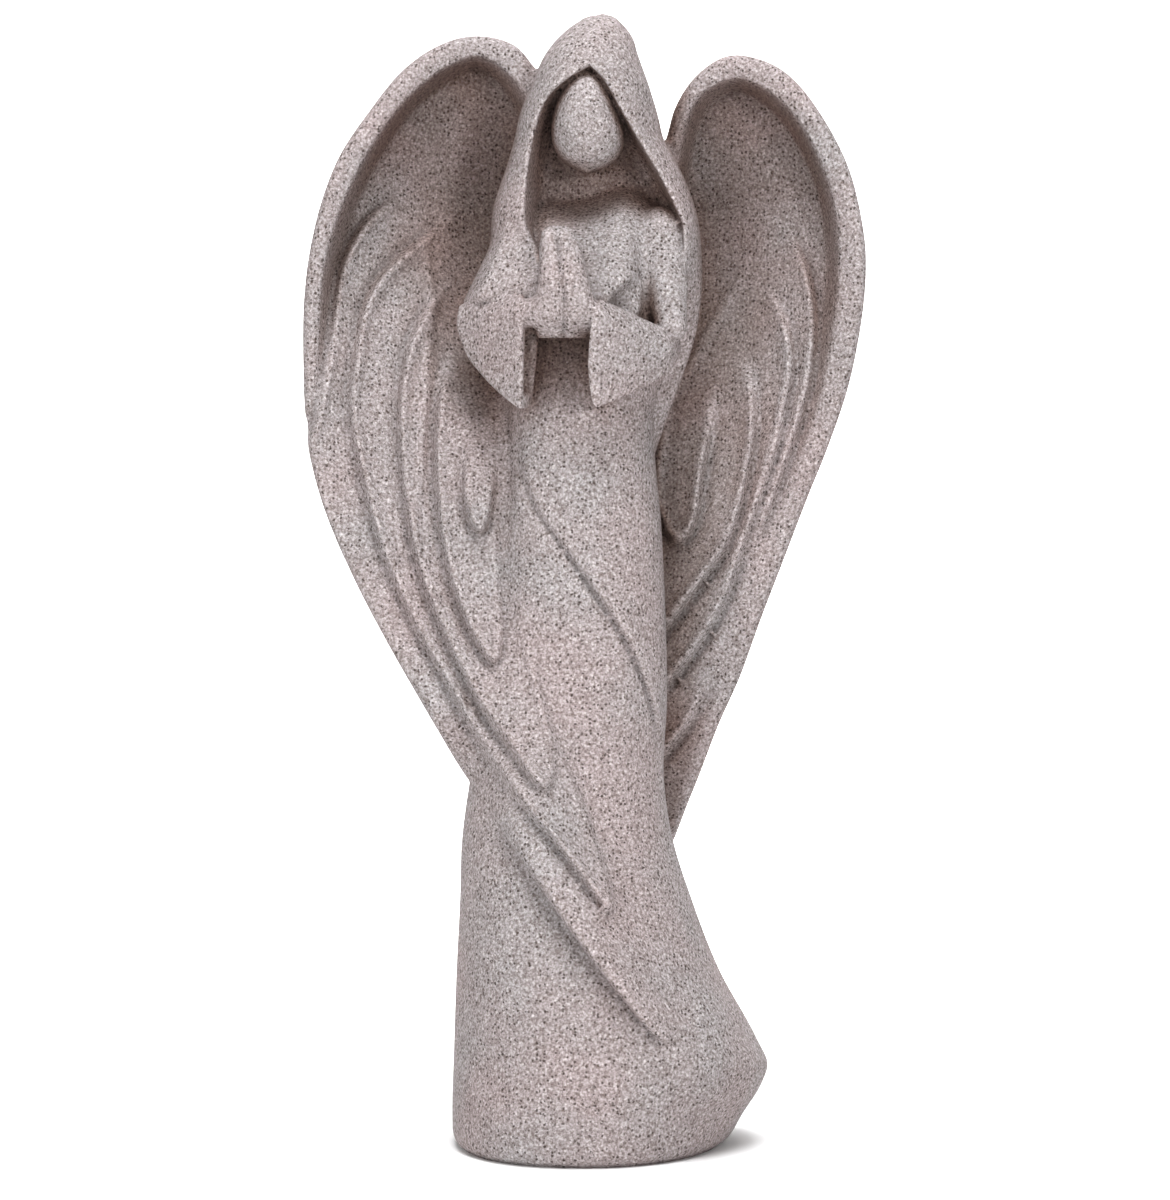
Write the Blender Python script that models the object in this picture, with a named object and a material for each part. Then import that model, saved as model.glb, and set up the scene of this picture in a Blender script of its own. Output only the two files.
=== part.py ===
"""Hooded angel with folded hands, one cast piece that stands on its gown.

The outline, the profiles and the larger carving are drawn on one front view.
The view is 1155 drawing units high, u runs to the right, v runs down and w runs
from the front to the back, all in drawing units.  The view is drawn as seen from
0.8 m in front at mid height, so near parts are drawn a little larger than far
ones, and place() takes that out again when it turns (u, v, w) into metres.
Each part of the body is a field: negative inside, positive outside.
Fields are blended with a fillet, and the zero surface of the blend is the solid.
"""

from concurrent.futures import ThreadPoolExecutor

import bmesh
import bpy
import numpy as np

UNIT = 0.23  # millimetres for one drawing unit
EYE = 800.0  # millimetres from the middle of the figure to the eye of the front view
MID_U, MID_V = 585.0, 600.0  # centre of the front view
MID_HEIGHT = 125.4  # height of that centre above the ground, millimetres
STEP = 3.0  # spacing of the sampling grid, drawing units
TRIANGLES = 9400  # triangles kept in the solid
NODE = "angel_figurine"


# ---------------------------------------------------------------- curves


def smooth(x, knots, values):
    """A smooth curve through a few knots, level before the first and after the last."""
    k = np.asarray(knots, float)
    y = np.asarray(values, float)
    slope = np.gradient(y, k)
    kind = np.asarray(x).dtype
    x = np.clip(x, k[0], k[-1])
    i = np.clip(np.searchsorted(k, x, side="right") - 1, 0, len(k) - 2)
    h = k[i + 1] - k[i]
    t = (x - k[i]) / h
    return (
        (2 * t**3 - 3 * t**2 + 1) * y[i]
        + (t**3 - 2 * t**2 + t) * h * slope[i]
        + (3 * t**2 - 2 * t**3) * y[i + 1]
        + (t**3 - t**2) * h * slope[i + 1]
    ).astype(kind)


def by_height(v, pairs):
    """Smooth value at height line v, from (v, value) pairs."""
    return smooth(v, [p[0] for p in pairs], [p[1] for p in pairs])


def trace(points, count):
    """count points evenly along a smooth line through a few control points."""
    p = np.asarray(points, float)
    t = np.concatenate(
        [[0], np.cumsum(np.sqrt(np.linalg.norm(np.diff(p, axis=0), axis=1)))]
    )
    x = np.linspace(0, t[-1], count)
    return np.stack([smooth(x, t, p[:, k]) for k in range(p.shape[1])], axis=1)


def ramp(x, low, high):
    """0 below low, 1 above high, smooth between."""
    t = np.clip((x - low) / (high - low), 0, 1)
    return t * t * (3 - 2 * t)


def nearest(u, v, line):
    """Distance to a line, the side (+ or -), and the share of the line travelled there."""
    best = np.full(u.shape, 1e12)
    side = np.ones(u.shape)
    share = np.zeros(u.shape)
    length = np.linalg.norm(np.diff(line, axis=0), axis=1)
    run = np.concatenate([[0], np.cumsum(length)])
    for k, (a, b) in enumerate(zip(line[:-1], line[1:])):
        d = b - a
        t = np.clip(((u - a[0]) * d[0] + (v - a[1]) * d[1]) / (d @ d + 1e-9), 0, 1)
        gap = (u - a[0] - t * d[0]) ** 2 + (v - a[1] - t * d[1]) ** 2
        near = gap < best
        best = np.where(near, gap, best)
        side = np.where(near, np.sign(d[0] * (v - a[1]) - d[1] * (u - a[0])), side)
        share = np.where(near, (run[k] + t * length[k]) / run[-1], share)
    return np.sqrt(best), side, share


def region(u, v, ring):
    """Signed distance to a closed outline, negative inside."""
    ring = np.vstack([ring, ring[:1]])
    gap, _, _ = nearest(u, v, ring)
    inside = np.zeros(u.shape, bool)
    for a, b in zip(ring[:-1], ring[1:]):
        if a[1] == b[1]:
            continue
        crosses = (a[1] > v) != (b[1] > v)
        inside ^= crosses & (u < (b[0] - a[0]) * (v - a[1]) / (b[1] - a[1]) + a[0])
    return np.where(inside, -gap, gap)


def sheet(u, v, spots):
    """A smooth sheet through spots (u, v, depth)."""
    s = np.asarray(spots, float)
    p = s[:, :2] / 100

    def bend(r2):
        return r2 * np.log(r2 + 1e-9)

    n = len(s)
    gaps = ((p[:, None] - p[None]) ** 2).sum(axis=2)
    side = np.hstack([np.ones((n, 1)), p])
    whole = np.zeros((n + 3, n + 3))
    whole[:n, :n] = bend(gaps) + 0.02 * np.eye(n)
    whole[:n, n:] = side
    whole[n:, :n] = side.T
    found = np.linalg.solve(whole, np.concatenate([s[:, 2], np.zeros(3)]))
    out = found[n] + found[n + 1] * u / 100 + found[n + 2] * v / 100
    for k in range(n):
        out = out + found[k] * bend((u / 100 - p[k, 0]) ** 2 + (v / 100 - p[k, 1]) ** 2)
    return out


# ---------------------------------------------------------------- fields


def join(a, b, fillet):
    h = np.maximum(fillet - np.abs(a - b), 0) / fillet
    return np.minimum(a, b) - h * h * fillet * 0.25


def meet(a, b, fillet):
    return -join(-a, -b, fillet)


def column(u, w, left, right, front, back, mid, power):
    """A column whose level sections are rounded ovals between the four profiles."""
    centre = (left + right) / 2
    a = np.maximum((right - left) / 2, 0.5)
    b = np.maximum(np.where(w < mid, mid - front, back - mid), 0.5)
    x = np.abs(u - centre) / a
    y = np.abs(w - mid) / b
    r = (x**power + y**power) ** (1 / power)
    return (r - 1) * np.minimum(a, b)


def hull(points):
    """Face planes of the smallest faceted body around the points."""
    bm = bmesh.new()
    for p in points:
        bm.verts.new(p)
    bmesh.ops.convex_hull(bm, input=bm.verts)
    middle = np.mean(np.asarray(points, float), axis=0)
    planes = {}
    for face in bm.faces:
        n = np.array(face.normal)
        d = n @ np.array(face.verts[0].co)
        if n @ middle > d:
            n, d = -n, -d
        if np.linalg.norm(n) > 0.5:
            planes[tuple(np.round(n, 3))] = (n, d)
    bm.free()
    return list(planes.values())


def facets(u, v, w, planes, round_off=3.0):
    out = None
    for n, d in planes:
        f = n[0] * u + n[1] * v + n[2] * w - d
        out = f if out is None else meet(out, f, round_off)
    return out


def limb(u, v, w, stations):
    """A rounded limb through stations (u, v, w, radius)."""
    out = None
    for a, b in zip(stations[:-1], stations[1:]):
        a, b = np.asarray(a, float), np.asarray(b, float)
        d = b[:3] - a[:3]
        t = ((u - a[0]) * d[0] + (v - a[1]) * d[1] + (w - a[2]) * d[2]) / (d @ d)
        t = np.clip(t, 0, 1)
        gap = np.sqrt(
            (u - a[0] - t * d[0]) ** 2
            + (v - a[1] - t * d[1]) ** 2
            + (w - a[2] - t * d[2]) ** 2
        )
        f = gap - (a[3] + t * (b[3] - a[3]))
        out = f if out is None else join(out, f, 6.0)
    return out


# ---------------------------------------------------------------- gown

GOWN_LEFT = [
    (330, 520), (380, 512), (450, 505), (520, 499), (600, 494), (700, 485), (780, 470),
    (840, 462), (900, 460), (960, 457), (1050, 454), (1110, 452.5), (1190, 455),
]  # fmt: skip
GOWN_RIGHT = [
    (330, 660), (380, 656), (450, 655), (520, 661), (600, 665), (700, 667), (780, 664),
    (840, 673), (900, 692), (971, 720), (1039, 757), (1064, 767.5), (1084, 761),
    (1116, 741), (1145, 726), (1190, 712),
]  # fmt: skip
GOWN_FRONT = [
    (330, -48), (380, -57), (450, -63), (600, -72), (700, -80), (780, -90), (840, -99),
    (900, -112), (960, -126), (1040, -141), (1110, -150), (1190, -152),
]  # fmt: skip
GOWN_BACK = [
    (330, 88), (520, 86), (600, 90), (700, 98), (780, 108), (840, 119),
    (900, 133), (960, 150), (1040, 172), (1110, 186), (1190, 190),
]  # fmt: skip
GOWN_MID = [(330, 10), (600, 8), (800, 8), (1000, 14), (1190, 16)]
# The right half of a section runs to a blunt corner where the hem swings out.
GOWN_CORNER = [(780, 2.3), (900, 2.2), (1000, 2.05), (1064, 1.95), (1190, 2.05)]
SEAM = [
    (517, 440), (523, 478), (536, 509), (560, 543), (594, 592), (623, 637),
    (643, 680), (655, 720), (661, 770),
]  # fmt: skip
HEM_SWEEP = [(652, 1034), (680, 1062), (708, 1090), (740, 1108)]


def gown_profiles(v):
    return [
        by_height(v, pairs)
        for pairs in (GOWN_LEFT, GOWN_RIGHT, GOWN_FRONT, GOWN_BACK, GOWN_MID)
    ]


def gown_power(u, v, left, right):
    return np.where(u > (left + right) / 2, by_height(v, GOWN_CORNER), 2.35)


def gown_face(u, v, back=False):
    """Depth of the gown's front, or of its back, at each point of the front view."""
    left, right, front, behind, mid = gown_profiles(v)
    power = gown_power(u, v, left, right)
    x = np.clip(np.abs(u - (left + right) / 2) / ((right - left) / 2), 0, 0.995)
    y = (1 - x**power) ** (1 / power)
    return mid + (behind - mid) * y if back else mid - (mid - front) * y


def gown_relief(u, v):
    """How far carving stands out of the gown's front."""
    gap, side, share = nearest(u, v, trace(SEAM, 60))
    d = gap * side
    rise = ramp(-d, -2, 7) * np.exp(-np.maximum(-d, 0) / 45)
    out = (5.0 + 5.0 * ramp(share, 0.2, 0.7)) * rise * ramp(share, 0.0, 0.08)
    out -= 2.6 * np.exp(-(((d - 1.5) / 2.8) ** 2)) * ramp(share, 0.0, 0.06) * (1 - ramp(share, 0.9, 1.0))
    gap, side, share = nearest(u, v, trace(HEM_SWEEP, 30))
    d = -gap * side
    rise = ramp(d, -26, 8) * np.exp(-np.maximum(d, 0) / 60)
    out = out + 7.0 * rise * ramp(share, 0.0, 0.2) * (1 - 0.8 * ramp(share, 0.6, 1.0))
    return out


def gown(u, v, w, relief):
    left, right, front, back, mid = gown_profiles(v)
    out = ramp(mid - w, 0, 30)
    return column(
        u, w + relief * out, left, right, front, back, mid,
        gown_power(u, v, left, right),
    )  # fmt: skip


# ---------------------------------------------------------------- torso, hood, face

TORSO_LEFT = [(192, 575), (200, 545), (212, 520), (230, 510), (260, 504), (330, 503), (400, 510), (460, 516)]
TORSO_RIGHT = [
    (192, 625), (200, 655), (212, 672), (228, 684), (260, 688), (320, 682),
    (375, 666), (410, 652), (460, 645),
]  # fmt: skip
TORSO_FRONT = [(188, 14), (200, 1), (212, -18), (235, -42), (290, -52), (330, -50), (400, -54), (460, -52)]
TORSO_BACK = [(192, 50), (230, 76), (300, 88), (460, 86)]
# The cloth over the chest leans forward and turns under above the hands.
CHEST_FRONT = [(190, 14), (200, 0), (208, -14), (220, -35), (236, -54), (262, -70), (285, -81), (305, -84), (320, -72), (336, -46)]
CHEST_LEFT, CHEST_RIGHT = 530.0, 645.0
NECKLINE = [(520, 0), (545, 1), (572, 2), (592, -1), (612, -9), (630, -12), (650, -7), (680, 6)]
UNDER_ARM = [(628, 305, -80, 17), (646, 288, -70, 14)]

HOOD_LEFT = [
    (13.5, 603), (16, 590), (22, 578), (35, 561), (50, 548), (85, 532), (110, 521),
    (140, 514), (165, 507), (209, 493), (260, 491), (320, 494), (380, 501), (450, 508),
]  # fmt: skip
HOOD_RIGHT = [
    (13.5, 603), (16, 612), (22, 620), (35, 631), (55, 638), (92, 651), (120, 659),
    (137, 663), (161, 676), (187, 688), (215, 697), (260, 702), (310, 700),
    (345, 693), (375, 683), (412, 670), (450, 656),
]  # fmt: skip
HOOD_FRONT = [
    (13.5, -22), (18, -40), (28, -54), (45, -68), (66, -78), (110, -82), (180, -76),
    (262, -68), (300, -28), (450, -22),
]  # fmt: skip
HOOD_BACK = [(13.5, -22), (18, 2), (28, 22), (45, 42), (80, 66), (120, 80), (200, 91), (300, 94), (450, 88)]
HOOD_MID = [(13.5, -22), (60, -6), (140, 4), (260, 10), (450, 14)]
# The pointed arch of the opening, from its apex down the right and back up the left.
OPENING_RIGHT = [(590, 65), (603, 78), (622, 110), (640, 139), (660, 171), (676, 201), (686, 222)]
OPENING_LEFT = [(536, 264), (528, 250), (521, 228), (520, 180), (524, 150), (531, 124), (543, 97), (566, 79), (590, 65)]
OPENING_FOOT = [(687, 244), (684, 300), (680, 340), (670, 440), (560, 440), (540, 300)]
OPENING_DEPTH = [(60, -58), (90, -36), (130, -18), (160, -4), (205, 2), (240, -8), (460, -12)]

FACE_LEFT = [(69, 589), (73, 577), (81, 567), (94, 559), (110, 554), (130, 551), (148, 554), (160, 562), (168, 573), (173, 585)]
FACE_RIGHT = [(69, 589), (73, 597), (81, 606), (94, 613), (110, 619), (130, 624), (148, 623), (160, 616), (168, 604), (173, 588)]
FACE_FRONT = [(69, -62), (76, -72), (92, -80), (118, -83), (140, -80), (158, -70), (173, -46)]


def opening_ring():
    right = trace(OPENING_RIGHT, 40)
    left = trace(OPENING_LEFT, 50)
    return np.vstack([right, np.asarray(OPENING_FOOT, float), left[:-1]])


def hood_relief(u, v):
    """A soft crease runs up the middle of the hood from the apex of the opening."""
    gap, side, share = nearest(u, v, trace([(590, 64), (595, 48), (601, 32), (604, 20)], 12))
    return 2.2 * np.exp(-((gap / 7) ** 2)) * (1 - ramp(share, 0.5, 1.0))


def hood(u, v, w, opening, crease):
    left, right, front, back, mid = [
        by_height(v, pairs)
        for pairs in (HOOD_LEFT, HOOD_RIGHT, HOOD_FRONT, HOOD_BACK, HOOD_MID)
    ]
    out = column(u, w + crease * (w < mid), left, right, front, back, mid, 2.5)
    out = np.maximum(out, 13.5 - v)
    out = np.maximum(out, v - 450)
    # The opening narrows a little towards its floor, so its walls are seen.
    floor = by_height(v, OPENING_DEPTH)
    slant = 0.10 + 0.16 * ramp(-u, -570, -545)
    wall = opening + slant * np.clip(w + 80, 0, 90)
    return meet(out, -meet(wall, w - floor, 14.0), 4.0)


def face(u, v, w):
    left, right, front = [by_height(v, p) for p in (FACE_LEFT, FACE_RIGHT, FACE_FRONT)]
    out = column(u, w, left, right, front, 6.0, -24.0, 2.5)
    return np.maximum(out, np.maximum(69 - v, v - 173))


def shoulder_line(u, v):
    """The height line lowered under the chin, where the gown's neckline dips."""
    lower = smooth(u, [p[0] for p in NECKLINE], [p[1] for p in NECKLINE])
    return v - lower * np.clip((300 - v) / 90, 0, 1)


def chest(u, v, w):
    front = by_height(shoulder_line(u, v), CHEST_FRONT)
    out = column(u, w, CHEST_LEFT, CHEST_RIGHT, front, 40.0, 20.0, 4.0)
    out = np.maximum(out, np.maximum(176 - v, v - 336))
    return meet(out, -limb(u, v, w, UNDER_ARM), 7.0)


def torso(u, v, w):
    left, right, back = [by_height(v, p) for p in (TORSO_LEFT, TORSO_RIGHT, TORSO_BACK)]
    front = by_height(shoulder_line(u, v), TORSO_FRONT)
    out = column(u, w, left, right, front, back, 16.0, 2.4)
    return np.maximum(out, np.maximum(176 - v, v - 460))


# ---------------------------------------------------------------- arms and hands

LEFT_UPPER = [
    (513, 196, -24), (512, 200, 22), (459, 309, -44), (462, 300, 8),
    (516, 206, -47), (496, 252, -62), (478, 297, -72),
    (531, 240, -62), (545, 258, -80), (521, 299, -90), (546, 300, -96), (506, 300, 20), (518, 230, 25),
]  # fmt: skip
LEFT_DIP = [(494, 295, -82, 8), (514, 288, -92, 9)]
LEFT_CUFF = [
    (458, 304, -42), (486, 297, -64), (521, 291, -94), (455, 318, -42),
    (487, 313, -76), (521, 308, -106), (455, 327, -38),
    (465, 357, -48), (487, 383, -66), (507, 402, -90), (520, 411, -100),
    (521, 400, -105), (541, 330, -66), (533, 396, -64), (531, 409, -76),
    (470, 318, -2), (504, 388, -34), (528, 320, -40),
]  # fmt: skip
LEFT_CUFF_HOLLOW = [
    (526, 326, -97), (525, 396, -97), (560, 326, -92), (560, 405, -92),
    (560, 326, -74), (560, 400, -72), (536, 338, -73), (530, 392, -73), (504, 345, -72), (508, 382, -80),
]  # fmt: skip
RIGHT_UPPER = [(661, 231, -20, 25), (667, 285, -38, 20), (671, 326, -52, 16)]
RIGHT_CUFF = [
    (600, 297, -108), (637, 314, -84), (673, 331, -60), (598, 311, -121),
    (637, 331, -98), (673, 346, -72), (681, 336, -36), (682, 353, -36), (677, 364, -42),
    (671, 371, -62), (660, 381, -68), (620, 400, -98), (596, 410, -112), (590, 322, -121),
    (586, 365, -116), (591, 402, -112), (602, 312, -74), (598, 398, -70), (642, 372, -28),
    (677, 338, -4),
]  # fmt: skip
RIGHT_CUFF_HOLLOW = [
    (560, 330, -108), (560, 400, -104), (594, 332, -108), (596, 394, -104),
    (560, 332, -86), (560, 396, -84), (600, 334, -86), (602, 390, -84), (622, 352, -82),
]  # fmt: skip
HAND_LEFT = [(226, 551), (229, 545), (238, 541), (262, 539), (280, 538), (300, 535), (320, 533), (338, 538)]
HAND_RIGHT = [(226, 565), (229, 571), (238, 577), (250, 582), (262, 585), (280, 589), (300, 595), (320, 596), (338, 590)]
HAND_FRONT = [(226, -100), (231, -109), (245, -116), (300, -122), (322, -116), (338, -98)]
HAND_BACK = [(226, -92), (240, -80), (300, -70), (338, -78)]
LEFT_WRIST = [(552, 308, -104, 17), (524, 314, -91, 14)]
RIGHT_WRIST = [(578, 310, -104, 17), (606, 322, -98, 14)]


LEFT_UPPER_PLANES = hull(LEFT_UPPER)
LEFT_CUFF_PLANES, LEFT_HOLLOW_PLANES = hull(LEFT_CUFF), hull(LEFT_CUFF_HOLLOW)
RIGHT_CUFF_PLANES, RIGHT_HOLLOW_PLANES = hull(RIGHT_CUFF), hull(RIGHT_CUFF_HOLLOW)


def hands(u, v, w):
    left, right, front, back = [
        by_height(v, p) for p in (HAND_LEFT, HAND_RIGHT, HAND_FRONT, HAND_BACK)
    ]
    mid = (front + back) / 2
    parting = 4.5 * np.exp(-(((u - by_height(v, [(226, 556), (300, 564)])) / 2.8) ** 2))
    parting = parting * (w < mid)
    out = column(u, w - parting, left, right, front, back, mid, 3.0)
    return np.maximum(out, np.maximum(226 - v, v - 338))


# ---------------------------------------------------------------- wings
# A wing is a scoop: a thick rim on the outside, a hollow under it, and long
# feathers that lie one on another, each a step nearer the eye than the one
# outside it.  LEFT_ and RIGHT_ are the sides of the front view.

LEFT_OUTLINE = [
    (560, 92), (535, 68), (517, 47), (490, 37), (460, 38), (430, 50), (400, 73),
    (368, 113), (340, 155), (322, 200), (310, 250), (304, 300), (303, 360),
    (307, 440), (321, 500), (350, 572), (385, 640), (428, 715), (463, 774),
    (510, 842), (564, 922), (617, 992), (654, 1036), (670, 1047),
]  # fmt: skip
LEFT_RETURN = [
    (680, 1038), (684, 1010), (660, 930), (628, 860), (600, 800), (575, 730),
    (550, 640), (540, 540), (545, 440), (552, 300), (556, 180), (560, 92),
]  # fmt: skip
LEFT_RIM = [
    (530, 116), (521, 96), (505, 74), (480, 59), (450, 68), (420, 90), (395, 117),
    (365, 163), (343, 212), (327, 265), (321, 330), (321, 376), (319, 397), (312, 409), (296, 417),
]  # fmt: skip
# Each feather: its edge from the root to the tip, the way back up under the next
# feather, the height of its step, the width over which it sinks back, and for an
# edge that runs out before its end, the length over which it does.
LEFT_FEATHERS = [
    ([(424, 172), (400, 190), (372, 212), (352, 238), (339, 268), (332, 305), (327, 350), (318, 405), (306, 440)],
     [(300, 470), (340, 560), (420, 560), (440, 300)], 9, 32),
    ([(462, 205), (430, 230), (400, 254), (378, 277), (363, 305), (354, 350), (348, 400), (352, 440),
      (362, 485), (378, 545), (410, 620), (440, 675), (463, 717), (507, 787), (555, 845), (594, 897), (606, 913)],
     [(616, 908), (612, 880), (590, 810), (560, 740), (530, 640), (515, 500), (510, 300)], 11, 30),
    ([(459, 270), (435, 292), (418, 320), (404, 355), (397, 410), (399, 466), (406, 520), (420, 580),
      (437, 622), (455, 662), (480, 708), (510, 750), (533, 783), (545, 790)],
     [(556, 784), (558, 755), (546, 700), (532, 620), (522, 500), (512, 350)], 12, 30),
    ([(461, 338), (446, 362), (437, 400), (433, 440), (434, 480), (437, 520), (446, 570), (458, 607),
      (472, 638), (486, 659), (495, 665)],
     [(503, 658), (506, 630), (503, 590), (500, 540), (512, 450), (510, 350)], 13, 40),
    ([(474, 420), (464, 455), (461, 485), (465, 512), (473, 531), (480, 535)],
     [(488, 531), (493, 515), (497, 490), (503, 450), (508, 400)], 14, 70),
]  # fmt: skip
# Depth of the hollow's floor and of the feathers' ground, before the steps.
LEFT_SPOTS = [
    (535, 90, 50), (450, 90, 54), (395, 150, 42), (350, 230, 24), (325, 320, 8),
    (480, 170, 80), (420, 240, 54), (510, 260, 82), (380, 340, 20), (460, 330, 40),
    (520, 380, 30), (312, 420, -12), (370, 450, -4), (430, 450, 0), (490, 450, -16),
    (335, 540, -24), (400, 560, -20), (460, 560, -26), (505, 560, -32),
    (385, 640, -34), (450, 640, -36), (435, 725, -52), (480, 720, -50),
]  # fmt: skip
# On the gown the wing is raised by these amounts above the gown's own front.
LEFT_ON_GOWN = [
    (500, 640, 10), (505, 700, 13), (545, 640, -8), (540, 740, 12), (580, 740, -8),
    (470, 790, 16), (510, 790, 22), (510, 842, 28), (560, 830, 19), (600, 800, -6),
    (564, 922, 35), (600, 900, 16), (630, 870, -8), (590, 955, 35), (617, 992, 32),
    (640, 960, 12), (668, 940, -8), (655, 1038, 21), (680, 1010, 2),
]  # fmt: skip

RIGHT_OUTLINE = [
    (640, 190), (652, 165), (665, 142), (676, 106), (697, 75), (728, 56), (762, 60),
    (791, 77), (822, 116), (849, 169), (864, 234), (866, 270), (862, 318),
    (849, 385), (829, 445), (809, 495), (786, 555), (761, 620), (740, 678),
    (718, 727), (697, 782), (674, 840), (648, 888), (612, 938), (568, 985),
    (520, 1022), (490, 1036),
]  # fmt: skip
RIGHT_RETURN = [
    (478, 1030), (484, 1004), (530, 935), (575, 860), (605, 780), (620, 700),
    (624, 600), (622, 450), (618, 320), (622, 230), (640, 190),
]  # fmt: skip
RIGHT_RIM = [
    (676, 186), (681, 163), (686, 135), (698, 102), (718, 86), (740, 81), (766, 93),
    (791, 116), (812, 150), (826, 184), (834, 220), (836, 265), (833, 315),
    (824, 380), (812, 430), (795, 480), (775, 535),
]  # fmt: skip
RIGHT_FEATHERS = [
    ([(770, 212), (784, 224), (799, 244), (811, 275), (817, 312), (816, 352), (810, 391), (797, 436),
      (782, 480), (768, 518), (752, 556), (738, 590)],
     [(640, 745), (640, 600), (660, 400)], 10, 30, 110),
    ([(756, 276), (773, 292), (786, 315), (793, 342), (794, 372), (788, 405), (779, 448), (764, 493),
      (744, 552), (728, 598), (708, 634), (688, 662), (664, 692)],
     [(640, 700), (640, 500), (680, 330)], 11, 28),
    ([(732, 348), (746, 362), (754, 380), (757, 412), (754, 450), (744, 500), (727, 548), (708, 576),
      (690, 600), (660, 640)],
     [(640, 640), (640, 450), (680, 360)], 12, 28),
    ([(719, 380), (714, 420), (709, 452), (704, 480), (701, 506), (694, 530), (682, 545)],
     [(671, 545), (662, 532), (650, 500), (650, 400)], 13, 40),
    ([(727, 655), (712, 684), (700, 706), (690, 724), (676, 742), (662, 760)],
     [(640, 790), (640, 600), (690, 640)], 9, 24),
]  # fmt: skip
RIGHT_SPOTS = [
    (640, 190, 74), (735, 100, 50), (790, 140, 42), (835, 230, 20), (700, 190, 82),
    (760, 220, 58), (700, 300, 78), (770, 320, 46), (845, 320, 8), (700, 420, 56),
    (760, 420, 34), (830, 420, 12), (690, 520, 42), (740, 520, 32), (795, 520, 20),
    (640, 420, 64), (640, 560, 54), (680, 600, 42), (720, 620, 36), (758, 620, 28),
    (680, 700, 46), (715, 715, 42), (690, 780, 54), (674, 835, 66), (640, 780, 62),
    (640, 890, 80), (590, 950, 90), (500, 1020, 100),
]  # fmt: skip
# Behind the gown the wing is raised by these amounts above the gown's own back.
RIGHT_ON_GOWN = [
    (620, 640, 6), (600, 720, 4), (580, 830, 2), (640, 760, 14), (655, 800, 16), (648, 870, 18),
    (612, 920, 19), (600, 860, 10), (568, 965, 19), (550, 920, 8), (520, 1005, 17), (495, 1020, 12),
    (505, 960, -6),
]  # fmt: skip
RIM_HEIGHT = [(30, 54), (100, 58), (200, 46), (300, 26), (360, 14), (400, 10), (430, 8), (520, 0), (600, 0)]
SHELL = [(30, 24), (300, 24), (500, 22), (800, 24), (1000, 26)]  # thickness of a wing


def feather_relief(u, v, feathers):
    """Steps and grooves of the feathers."""
    out = np.zeros(u.shape)
    for edge, back, height, sink, *fade in feathers:
        line = trace(edge, 12 * len(edge))
        gap, _, share = nearest(u, v, line)
        into = -region(u, v, np.vstack([line, np.asarray(back, float)]))
        d = np.where(into > 0, gap, -gap)
        length = np.linalg.norm(np.diff(line, axis=0), axis=1).sum()
        root = ramp(share * length, 0, 90)
        if fade:
            root = root * ramp((1 - share) * length, 0, fade[0])
        step = 1.2 * height * ramp(into, -2, 7) * np.exp(-gap / sink)
        step += 2.5 * np.exp(-(((into - 7) / 4.5) ** 2))
        groove = 2.8 * np.exp(-(((d + 4) / 3.5) ** 2)) * (1 - ramp(share, 0.97, 1.0))
        out += (step - groove) * root
    return out


def rim_relief(u, v, line, hand):
    gap, side, _ = nearest(u, v, trace(line, 160))
    d = -gap * side * hand
    return by_height(v, RIM_HEIGHT) * (1 - ramp(d, -5, 13))


def wing_maps(u, v):
    """For both wings: outline, front depth, back depth and their slopes on the front view."""
    maps = {}
    for hand in (1, -1):
        if hand > 0:
            ring = np.vstack([trace(LEFT_OUTLINE, 220)[:-1], trace(LEFT_RETURN, 60)[:-1]])
            rim, feathers = LEFT_RIM, LEFT_FEATHERS
            spots = list(LEFT_SPOTS)
            for pu, pv, up in LEFT_ON_GOWN:
                ground = gown_face(np.array([float(pu)]), np.array([float(pv)]))[0]
                spots.append((pu, pv, ground - up))
        else:
            ring = np.vstack([trace(RIGHT_OUTLINE, 220)[:-1], trace(RIGHT_RETURN, 60)[:-1]])
            rim, feathers = RIGHT_RIM, RIGHT_FEATHERS
            spots = list(RIGHT_SPOTS)
        edge = region(u, v, ring)
        ground = sheet(u, v, spots)
        relief = feather_relief(u, v, feathers)
        near = ground - rim_relief(u, v, rim, hand) - relief
        shell = by_height(v, SHELL)
        curl = 0.7 * by_height(v, RIM_HEIGHT) * np.exp(-((np.minimum(edge, 0) / 28) ** 2))
        far = ground + shell - curl + 0.4 * relief
        if hand > 0:
            # Over the gown the wing goes down into the gown's body.
            over = ramp(u - by_height(v, GOWN_LEFT), 4, 40) * ramp(v, 520, 640)
            far = far + over * 70
        else:
            behind = [
                (pu, pv, gown_face(np.array([float(pu)]), np.array([float(pv)]), True)[0] + up)
                for pu, pv, up in RIGHT_ON_GOWN
            ]
            free = [
                (pu, pv, pw + 24) for pu, pv, pw in RIGHT_SPOTS if pu > 660 or pv < 600
            ]
            far = sheet(u, v, free + behind) - curl + 0.4 * relief
        far = np.maximum(far, near + 16)
        gu, gv = np.gradient(ground, u[:, 0], v[0, :])
        tilt = np.sqrt(1 + np.clip(gu, -1.5, 1.5) ** 2 + np.clip(gv, -1.5, 1.5) ** 2)
        maps[hand] = (edge, near, far, tilt)
    return maps


def wing(w, edge, near, far, tilt):
    out = meet((near - w) / tilt, (w - far) / tilt, 10.0)
    return meet(out, edge, 14.0)


# ---------------------------------------------------------------- the whole figure


def place(u, v, w):
    """Drawing units to millimetres: x to the right, y to the back, z up."""
    far = 1 + w * UNIT / EYE
    return (
        (u - MID_U) * UNIT * far,
        w * UNIT,
        MID_HEIGHT + (MID_V - v) * UNIT * far,
    )


def window(us, ws, u_span, w_span):
    return (
        slice(*np.searchsorted(us, u_span)),
        slice(None),
        slice(*np.searchsorted(ws, w_span)),
    )


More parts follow.
